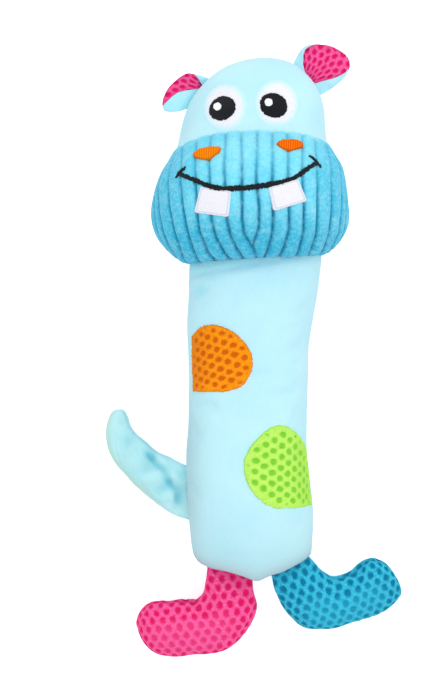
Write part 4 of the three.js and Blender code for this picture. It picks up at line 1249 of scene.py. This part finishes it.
def sewRoot(place, points, fromRoot, over=7.0, tuck=0.6):
    # draws the root into the curved seam that it is sewn in
    root = points[0]
    chord = (root - place["origin"]) @ place["x"]
    seamX = (place["seam"] - place["origin"]) @ place["x"]
    order = np.argsort(seamX)
    goal = np.stack([np.interp(chord, seamX[order], place["seam"][order, k]) for k in range(3)], -1)
    flatY = place["y"].copy()
    flatY[2] = 0
    inward = (place["seam"].mean(0) - place["origin"]) @ flatY
    goal += flatY / np.linalg.norm(flatY) * np.sign(inward) * tuck
    goal[:, 2] += (root[:, 2] - place["origin"][2]) * 0.5
    pull = (1 - ease(fromRoot, 0, over))[..., None]
    return points + (goal - root)[None] * pull


limbSet = {
    "pinkLeg": {
        "from": -0.8, "to": 0.03, "toe": -1, "length": 57.8, "reach": 40.2, "root": 26, "thick": 10.5,
        "droop": 25.58, "rowTurn": 7.7,
        # towards the toe, down the leg, half-vector, thickness
        "stations": [
            [0, 0, 0.5, 0, 0.06], [-0.066, 0.135, 0.555, 0, 0.4], [-0.11, 0.26, 0.6, 0.01, 0.7],
            [-0.075, 0.385, 0.635, -0.05, 0.89], [0.01, 0.51, 0.62, -0.27, 1], [0.16, 0.6, 0.615, -0.4, 1],
            [0.385, 0.688, 0.458, -0.495, 1], [0.6, 0.748, 0.31, -0.575, 0.96],
            [0.765, 0.793, 0.255, -0.545, 0.84], [0.9, 0.825, 0.18, -0.35, 0.56], [1, 0.815, 0, 0, 0],
        ],
    },
    "blueLeg": {
        "from": 0.33, "to": 0.97, "toe": 1, "length": 52.4, "reach": 48.3, "root": 26, "thick": 10.5,
        "droop": 30.68, "rowTurn": 20.0,
        "stations": [
            [-0.01, 0, 0.52, 0, 0.06], [-0.006, 0.12, 0.53, -0.055, 0.36],
            [-0.003, 0.245, 0.545, -0.16, 0.64], [0.03, 0.39, 0.545, -0.28, 0.86],
            [0.09, 0.52, 0.53, -0.365, 1], [0.22, 0.605, 0.455, -0.44, 1], [0.395, 0.65, 0.38, -0.515, 1],
            [0.58, 0.66, 0.32, -0.62, 0.96], [0.78, 0.69, 0.19, -0.64, 0.84],
            [0.915, 0.745, 0.11, -0.48, 0.56], [1, 0.87, 0, 0, 0],
        ],
    },
    "rows": 110, "columns": 84, "wall": 0.7, "inset": 2.6,
    "bag": {"rows": 24, "columns": 12, "pressure": 5, "reach": 0.9},
}


def limbForm(stations, scales):
    x, y, halfX, halfY, thick = (np.array(stations) * scales).T
    return form([x, y, halfX, halfY, thick, thick, 0 * thick], 2)


def legPiece(s, name, shape, moves, side):
    p = s[name]
    points, _, normals, fromSide, fromRoot = stuffedSkin(shape, moves, side, s["rows"], s["columns"])
    dip = bell(fromSide, 1.1)
    rootThick = 2 * shape["table"][0][4]
    place = limbFrame(bottomSeam(np.linspace(p["from"], p["to"], 30)), -1, p["droop"], rootThick)
    # rows of holes run along the sole, and the cloth wraps round the boot's sides
    turn = math.radians(p["rowTurn"])
    lean = toWorld({**place, "origin": 0}, normals)
    seen = sewRoot(place, toWorld(place, points), fromRoot)
    seen = seen + lean * 7 * (1 - np.abs(lean[..., 2:])) * ease(fromRoot, 3, 14)[..., None]
    x, y = seen[..., 0], seen[..., 1]
    uvs = np.stack([y * math.cos(turn) - x * math.sin(turn), x * math.cos(turn) + y * math.sin(turn)], -1)
    calm = ease(fromSide, 0, 5)
    # painted highlight: the crown, the boot's top, is paler
    crown = ease(points[..., 2] * side, 0.72 * p["thick"], p["thick"]) * ease(fromRoot, 8, 22)
    swell = 0.3 * lumps(points, size=17, seed=51) * calm - 0.6 * dip
    swell -= 0.5 * holeDepth(uvs) * ease(fromSide, 0.8, 3)
    points = points + normals * swell[..., None]
    world = sewRoot(place, toWorld(place, points), fromRoot)
    world[..., 2] = np.maximum(world[..., 2], 0.05)
    rootDip = bell(fromRoot, 2.5)
    # painted shade at the side seams and the root
    marks = {"dip": np.clip(0.55 * dip * ease(fromRoot, 0, 3) + 0.4 * rootDip, 0, 1), "crown": crown}
    piece = gridPiece(name + ("Front" if side > 0 else "Back"), world, uvs, marks, s["wall"], side)
    return piece, place


def corePiece(name, shape, place, inset):
    # a limb's filling: its form drawn in all round and closed at both ends
    inner = dict(shape)
    inner["table"] = shape["table"].copy()
    widths = np.hypot(shape["table"][:, 2], shape["table"][:, 3])
    inner["table"][:, 2:4] *= np.clip(1 - inset / np.maximum(widths, 1e-6), 0.05, 1)[:, None]
    inner["table"][:, 4:6] = np.maximum(shape["table"][:, 4:6] - inset, 0.15)
    inner["slopes"] = np.gradient(inner["table"], inner["knots"], axis=0)
    at = np.linspace(3.5, shape["length"] - 1.5 * inset, 26)
    front, _ = skinGrid(inner, at, np.linspace(0, 1, 15), 1)
    back, _ = skinGrid(inner, at, np.linspace(1, 0, 15), -1)
    ring = np.concatenate([front, back[:, 1:]], 1)
    middle = ring[:, :-1].mean(1, keepdims=True)
    ring = np.concatenate([ring[:1] * 0 + middle[:1], ring, ring[:1] * 0 + middle[-1:]])
    world = toWorld(place, ring)
    return gridPiece(name, world, world[..., :2], side=None)


def limbBend(parent, child, place, away, reach=9.0):
    # the stretch out from a limb's root over which its cloth turns: the two bodies and the stretch's two ends
    start = place["origin"] * mm
    end = (place["origin"] + place["y"] * away * reach) * mm
    return (parent, child, tuple(start), tuple(end))


for name, node, material, slotName in (
    ("pinkLeg", "pink_leg", meshes["pink"], "mesh_pink"),
    ("blueLeg", "blue_leg", meshes["teal"], "mesh_teal"),
):
    p = limbSet[name]
    scales = (p["toe"] * p["reach"], -p["length"], p["root"], -p["toe"] * p["root"], p["thick"])
    shape = limbForm(p["stations"], scales)
    moves = stuffedMoves(name + "Bag", shape, **limbSet["bag"])
    for side, panel in ((1, "_front_panel"), (-1, "_back_panel")):
        piece, place = legPiece(limbSet, name, shape, moves, side)
        bendBy = limbBend("torso", node, place, -1)
        finishPiece(piece, material, [node + panel], bend=bendBy)
    core = corePiece(name + "Filling", shape, place, limbSet["inset"])
    finishPiece(core, filling, [node + "_filling"], bend=bendBy)
print("legs made")

tailSet = {
    "from": 0.885, "to": 0.69, "rise": 42, "reach": 43, "root": 30, "thick": 9, "droop": -24,
    # up along the side, out from it, half-vector, thickness
    "stations": [
        [0, 0, 0.5, 0, 0.07], [0.083, 0.152, 0.53, 0, 0.42], [0.205, 0.374, 0.505, 0.02, 0.84],
        [0.37, 0.576, 0.47, -0.03, 1], [0.53, 0.745, 0.4, -0.087, 0.98], [0.68, 0.85, 0.335, -0.147, 0.92],
        [0.835, 0.905, 0.272, -0.18, 0.8], [0.98, 0.94, 0.185, -0.165, 0.58], [1.09, 0.97, 0, 0, 0],
    ],
    "rows": 100, "columns": 80, "wall": 1.0, "inset": 3.6,
    "bag": {"rows": 22, "columns": 14, "pressure": 5, "reach": 0.9},
    # the crease down its front, place across and along on the toy, mm
    "crease": [
        (-54.8, -18.6), (-51.0, -23.4), (-47.4, -26.4), (-44.8, -31.2), (-42.4, -35.2), (-38.9, -38.2),
        (-39.6, -44.2),
    ],
    # hollows and ridges in its front: place, size, depth or height
    "hollows": [
        (-70.0, -1.2, 3.2, 0.5), (-65.6, -11.0, 4.2, 0.8), (-56.5, -26.0, 4.4, 0.8),
        (-47.5, -37.5, 3.4, 0.8), (-43.6, -33.4, 2.2, 0.9), (-53.4, -19.6, 2.4, 0.7),
    ],
    "ridges": [
        (-62.5, -17.2, 3.6, 1.0), (-49.6, -31.0, 3.2, 1.2), (-44.6, -41.5, 3.0, 1.0),
        (-47.0, -21.0, 3.2, 1.0), (-68.0, -5.5, 3.0, 0.5), (-40.0, -30.0, 3.0, 0.9),
        (-54.6, -32.4, 3.0, 0.8),
    ],
}


def fromLine(points, line):
    # how far points lie from a line of places on the toy, as seen from above
    nearest = np.full(points.shape[:-1], 1e9)
    line = np.array(line)
    for a, b in zip(line[:-1], line[1:]):
        way = b - a
        t = np.clip(((points[..., :2] - a) @ way) / (way @ way), 0, 1)
        nearest = np.minimum(nearest, np.linalg.norm(points[..., :2] - a - t[..., None] * way, axis=-1))
    return nearest


def tailPiece(s, shape, moves, side):
    points, arcs, normals, fromSide, fromRoot = stuffedSkin(shape, moves, side, s["rows"], s["columns"])
    dip = bell(fromSide, 1.4)
    calm = ease(fromSide, 0, 5) * ease(fromRoot, 0, 5)
    rootThick = 2 * shape["table"][0][4]
    place = limbFrame(sideSeam(bodyShape, np.linspace(s["from"], s["to"], 30), -1), 1, s["droop"], rootThick)
    seen = toWorld(place, points)
    swell = 0.3 * lumps(points, size=13, seed=61) * calm - 0.6 * dip
    # painted shade along the side seams, in the crease and a band beside it and in the hollows; the ridges
    # get a painted highlight
    shade = 0.15 * dip
    if side > 0:
        away = fromLine(seen, s["crease"])
        crease = bell(away, 1.8) * (0.8 + 0.35 * lumps(seen, size=9, seed=63))
        swell -= 1.5 * crease * calm
        shade = shade + 0.62 * crease + 0.3 * bell(away, 4.6)
        for kind, rise, dark in (("hollows", -1, 0.42), ("ridges", 1.3, -0.4)):
            for x, y, size, much in s[kind]:
                spot = np.exp(-(((seen[..., 0] - x) ** 2 + (seen[..., 1] - y) ** 2) / size**2))
                swell += rise * much * spot * calm
                shade = shade + dark * much * spot
    # painted shade tint along the tail's outer edge, where it turns away
    shadeTint = 0.8 * bell(arcs + np.abs(arcs).max(1, keepdims=True), 8.0) * ease(fromRoot, 12, 34)
    points = points + normals * swell[..., None]
    world = sewRoot(place, toWorld(place, points), fromRoot)
    world[..., 2] = np.maximum(world[..., 2], 0.05)
    marks = {"dip": np.clip(shade, 0, 1), "shadeTint": shadeTint}
    uvs = np.stack([arcs, fromRoot], -1)
    piece = gridPiece("tailFront" if side > 0 else "tailBack", world, uvs, marks, s["wall"], side)
    return piece, place


scales = [tailSet[key] for key in ("rise", "reach", "root", "root", "thick")]
shape = limbForm(tailSet["stations"], scales)
moves = stuffedMoves("tailBag", shape, **tailSet["bag"])
for side, node in ((1, "tail_front_panel"), (-1, "tail_back_panel")):
    piece, place = tailPiece(tailSet, shape, moves, side)
    bendBy = limbBend("torso", "tail", place, 1)
    finishPiece(piece, tailPlush, [node], bend=bendBy)
core = corePiece("tailFilling", shape, place, tailSet["inset"])
finishPiece(core, filling, ["tail_filling"], bend=bendBy)
print("tail made")

# --- ears

earSet = {
    "left": {
        "side": -1, "from": 0.755, "to": 0.925, "sewn": (0.785, 0.925),
        "over": 8.0, "reach": 13.0, "width": 13.4, "fan": (6.0, -6.0), "shade": 0.3,
        "stations": [
            [0, 0.9, -0.12], [0.125, 0.96, -0.25], [0.25, 1, -0.36], [0.37, 0.99, -0.42],
            [0.6, 0.93, -0.51], [0.73, 0.86, -0.52], [0.85, 0.7, -0.55], [0.95, 0.4, -0.59], [1, 0, -0.61],
        ],
        # out, where the lower lip ends, where the upper lip ends: mm in the ear's frame
        "folds": [
            [0, 3.8, 3.8], [1.6, 2.3, 4.3], [3.2, 0.0, 4.9], [4.7, -2.2, 5.6], [6.3, -4.6, 6.3],
            [7.9, -7.2, 6.6], [9.0, -10.5, 6.4], [10.0, -17.0, 6.4], [11.2, -30.0, 30.0],
            [13.5, -30.0, 30.0],
        ],
    },
    "right": {
        "side": 1, "from": 0.8, "to": 0.95, "sewn": (0.8, 0.95),
        "over": 4.0, "reach": 22.0, "width": 13.5, "fan": (1.0, -7.0), "shade": 0.06,
        "stations": [
            [0, 0.85, 0.01], [0.12, 0.935, -0.02], [0.25, 0.985, -0.03], [0.37, 1, -0.03],
            [0.5, 0.98, -0.01], [0.62, 0.9, 0.03], [0.74, 0.78, 0.08], [0.865, 0.6, 0.13],
            [0.96, 0.33, 0.19], [1, 0, 0.23],
        ],
        "folds": [
            [0, 1.0, 1.0], [0.8, -1.2, 3.0], [1.6, -4.4, 4.4], [2.7, -8.0, 5.5], [5.4, -11.0, 7.2],
            [8.1, -12.5, 8.7], [10.8, -12.3, 9.8], [13.5, -11.4, 10.8], [16.1, -9.8, 11.2],
            [18.0, -30.0, 10.7], [20.0, -30.0, 30.0], [22.5, -30.0, 30.0],
        ],
    },
    "lift": 7, "cup": 4.0, "roll": 1.4, "rows": 72, "wall": 0.2, "liningWall": 0.4,
}


def earRing(s, middle, half, cup, puff, lowLip, highLip):
    # over the lower lip, round the rim, under the ear, round the other rim and over the upper lip
    (lowFold, lowRoll), (highFold, highRoll) = lowLip, highLip
    low, high = middle - half, middle + half
    path = []

    def bed(x):
        return cup * ((x - middle) / half) ** 2 - 0.9

    def bump(roll):
        return roll / s["roll"] * puff

    for t in np.linspace(0, 1, 10):
        x = lowFold + (low + lowRoll - lowFold) * t
        path.append((x, bed(x) + 2 * lowRoll + 1.1 * bump(lowRoll) * math.sin(math.pi * (0.12 + 0.75 * t))))
    for t in np.linspace(0, 1, 7)[1:-1]:
        x = low + lowRoll
        rise = bed(x) + lowRoll * (1 + math.cos(math.pi * t)) + 0.9 * bump(lowRoll) * (1 - t)
        path.append((x - lowRoll * math.sin(math.pi * t), rise))
    for t in np.linspace(0, 1, 16):
        x = low + lowRoll + (high - low - lowRoll - highRoll) * t
        path.append((x, bed(x)))
    for t in np.linspace(0, 1, 7)[1:-1]:
        x = high - highRoll
        rise = bed(x) + highRoll * (1 - math.cos(math.pi * t)) + 0.5 * bump(highRoll) * t
        path.append((x + highRoll * math.sin(math.pi * t), rise))
    for t in np.linspace(0, 1, 8):
        x = high - highRoll + (highFold - high + highRoll) * t
        path.append((x, bed(x) + 2 * highRoll + 0.7 * bump(highRoll) * math.sin(math.pi * (0.85 - 0.75 * t))))
    return np.array(path)


def earPieces(s, name):
    p = s[name]
    ends = (p["to"], p["from"]) if p["side"] > 0 else (p["from"], p["to"])
    place = limbFrame(sideSeam(headShape, np.linspace(*ends, 30), p["side"]), 1, s["lift"], rootThickness=1.0)
    place["seam"] = sideSeam(headShape, np.linspace(*p["sewn"], 30), p["side"]) + neck
    rows = np.array(p["stations"])
    table = np.stack([rows[:, 2] * p["reach"], rows[:, 0] * p["reach"], rows[:, 1] * p["width"]], 1)
    knots = lengthsAlong(table)
    slopes = np.gradient(table, knots, axis=0)
    slopes[-1, 0:2] = 0
    at = np.linspace(0, 1, s["rows"]) ** 1.5 * knots[-1] * 0.995
    line = rowsAt(knots, table, at, slopes)
    folds = np.array(p["folds"])
    outline, lining, backUv, liningUv, edges = [], [], [], [], []
    for middle, out, half in line:
        half = max(half, 0.05)
        low, high = middle - half, middle + half
        puff = 0.45 + 0.55 * float(ease(np.array(out / p["reach"]), 0, 0.3))
        lowFold = np.clip(np.interp(out, folds[:, 0], folds[:, 1]), low, high)
        highFold = np.clip(np.interp(out, folds[:, 0], folds[:, 2]), lowFold, high)
        thin = min(0.3, 0.2 * half)
        lowRoll = min(s["roll"] * puff, thin + 0.5 * (lowFold - low), 0.4 * half)
        highRoll = min(s["roll"] * puff, thin + 0.5 * (high - highFold), 0.4 * half)
        lowFold = max(lowFold, low + lowRoll * 0.6)
        highFold = min(highFold, high - highRoll * 0.6)
        cup = s["cup"] * out / p["reach"] * half / p["width"]
        path = earRing(s, middle, half, cup, puff, (lowFold, lowRoll), (highFold, highRoll))
        level = np.full(len(path), out)
        outline.append(np.stack([path[:, 0], level, path[:, 1]], 1))
        backUv.append(np.stack([np.cumsum(np.r_[0, np.hypot(*np.diff(path, axis=0).T)]), level], 1))
        x = np.linspace(low + max(lowRoll * 0.8, 0.15), high - max(highRoll * 0.8, 0.15), 60)
        z = cup * ((x - middle) / half) ** 2 - 0.45 + 0.9 * float(ease(np.array(out), 1.0, 4.0))
        lining.append(np.stack([x, np.full(60, out), z], 1))
        # holes fan out from the root
        beside, beyond = x - p["fan"][0], out - p["fan"][1]
        liningUv.append(np.stack([np.hypot(beside, beyond) * 1.2, np.arctan2(beside, beyond) * 17 * 1.8], 1))
        fromEdge = np.minimum(x - low, high - x)
        edges.append(bell(fromEdge, 0.5) * 0.5)
    outline, lining = np.array(outline), np.array(lining)
    fromRoot = np.broadcast_to(line[:, 1][:, None], outline.shape[:2])
    back = sewRoot(place, toWorld(place, outline), fromRoot, p["over"], tuck=1.4)
    # painted shade at the root, and the ear's shade value over all of it
    marks = {"dip": p["shade"] + 0.3 * (1 - ease(fromRoot, 0, 2))}
    piece = gridPiece(name + "EarBack", back, np.array(backUv), marks, s["wall"], -1)
    bendBy = limbBend("head", name + "_ear", place, 1, reach=5.0)
    finishPiece(piece, plush, [name + "_ear_back"], bend=bendBy)
    fromRoot = np.broadcast_to(line[:, 1][:, None], lining.shape[:2])
    liningUv = np.array(liningUv)
    lining[..., 2] -= 0.3 * holeDepth(liningUv) * ease(fromRoot, 0.5, 3)
    inner = sewRoot(place, toWorld(place, lining), fromRoot, p["over"], tuck=1.1)
    # painted shade at the root and at the edges under the rolled lips
    shade = 0.45 * bell(fromRoot, 2.5) + np.array(edges)
    piece = gridPiece(name + "EarLining", inner, liningUv, {"dip": shade}, s["liningWall"])
    finishPiece(piece, meshes["pink"], [name + "_ear_lining"], bend=bendBy)


earPieces(earSet, "left")
earPieces(earSet, "right")
print("ears made")

# --- the body's filling, with a hollow for the squeaker

fillingSet = {"middle": (2.4, -1.3, 25.5), "radii": (20.6, 21.1, 17.6), "inset": 3.4}


def bodyFillingPiece(s):
    axes = np.eye(3)
    upright = {"origin": neck, "x": axes[0], "y": axes[1], "z": axes[2]}
    piece = corePiece("bodyFilling", bodyShape, upright, s["inset"])
    middle = [c * mm for c in s["middle"]]
    bpy.ops.mesh.primitive_uv_sphere_add(segments=32, ring_count=20, radius=mm, location=middle)
    hollow = bpy.context.object
    hollow.scale = s["radii"]
    bpy.ops.object.select_all(action="DESELECT")
    hollow.select_set(True)
    bpy.ops.object.transform_apply(location=True, rotation=True, scale=True)
    editAll(bpy.ops.mesh.flip_normals)
    return joined([piece, hollow], "bodyFilling")


finishPiece(bodyFillingPiece(fillingSet), filling, ["body_filling"], bend=bend)

# --- hidden parts keep their solids

for node, material in (
    ("head_filling", filling), ("body_squeaker", bulbPlastic),
    ("head_squeaker", bulbPlastic), ("body_squeaker_reed", reedPlastic), ("head_squeaker_reed", reedPlastic),
):
    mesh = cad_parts[node].data
    mesh.materials.clear()
    mesh.materials.append(material)

# --- floor and light

stageSet = {
    "size": 6, "floor": (236, 238, 240), "grain": (240, 241, 243), "lift": 0.62, "world": 0.87,
    "key": 4.9, "fill": 1.6,
}


def seenDirectly(tree):
    # 1 for what the camera sees, straight or in a mirror, and 0 for what only lights the cloth
    path = addNode(tree, "ShaderNodeLightPath").outputs
    seen = doMath(tree, "MAXIMUM", path["Is Camera Ray"], path["Is Glossy Ray"])
    return doMath(tree, "MAXIMUM", seen, path["Is Transmission Ray"])


bpy.ops.object.select_all(action="DESELECT")
bpy.ops.mesh.primitive_plane_add(size=stageSet["size"], location=(0, 0, 0))
floor = bpy.context.object
floor.name = "floor"
floorMaterial, floorTree, floorShader = newFinish("floor_white", 0.9, specular=0.1)
stops = [(0.3, stageSet["floor"]), (0.7, stageSet["grain"])]
paint(floorTree, floorShader, addRamp(floorTree, objectNoise(floorTree, 6, 2), stops))
lit = doMath(floorTree, "MULTIPLY", seenDirectly(floorTree), stageSet["lift"])
glow = addNode(floorTree, "ShaderNodeEmission", {"Color": linear(white), "Strength": lit})
both = addNode(floorTree, "ShaderNodeAddShader", {0: floorShader.outputs[0], 1: glow.outputs[0]})
floorTree.links.new(both.outputs[0], floorTree.nodes["Material Output"].inputs["Surface"])
floor.data.materials.append(floorMaterial)

world = bpy.data.worlds.new("studio")
world.use_nodes = True
bpy.context.scene.world = world
worldTree = world.node_tree
background = worldTree.nodes["Background"].inputs
inputs = {"Value": seenDirectly(worldTree), "To Min": stageSet["world"], "To Max": 1.0}
strength = addNode(worldTree, "ShaderNodeMapRange", inputs).outputs["Result"]
worldTree.links.new(strength, background["Strength"])
background["Color"].default_value = linear(white)

def softLamp(name, place, aim, size, power):
    bpy.ops.object.light_add(type="AREA", location=place)
    lamp = bpy.context.object
    lamp.name = name
    lamp.data.shape = "DISK"
    lamp.data.size = size
    lamp.data.energy = power
    lamp.rotation_euler = (Vector(aim) - Vector(place)).to_track_quat("-Z", "Y").to_euler()


softLamp("keyLamp", (0.35, 0.95, 1.25), (0, 0.05, 0.03), 0.9, stageSet["key"])
softLamp("fillLamp", (0.1, -0.3, 1.2), (0, 0, 0.03), 1.0, stageSet["fill"])

bpy.context.scene.view_settings.view_transform = "Standard"
bpy.context.view_layer.update()
print("scene ready")
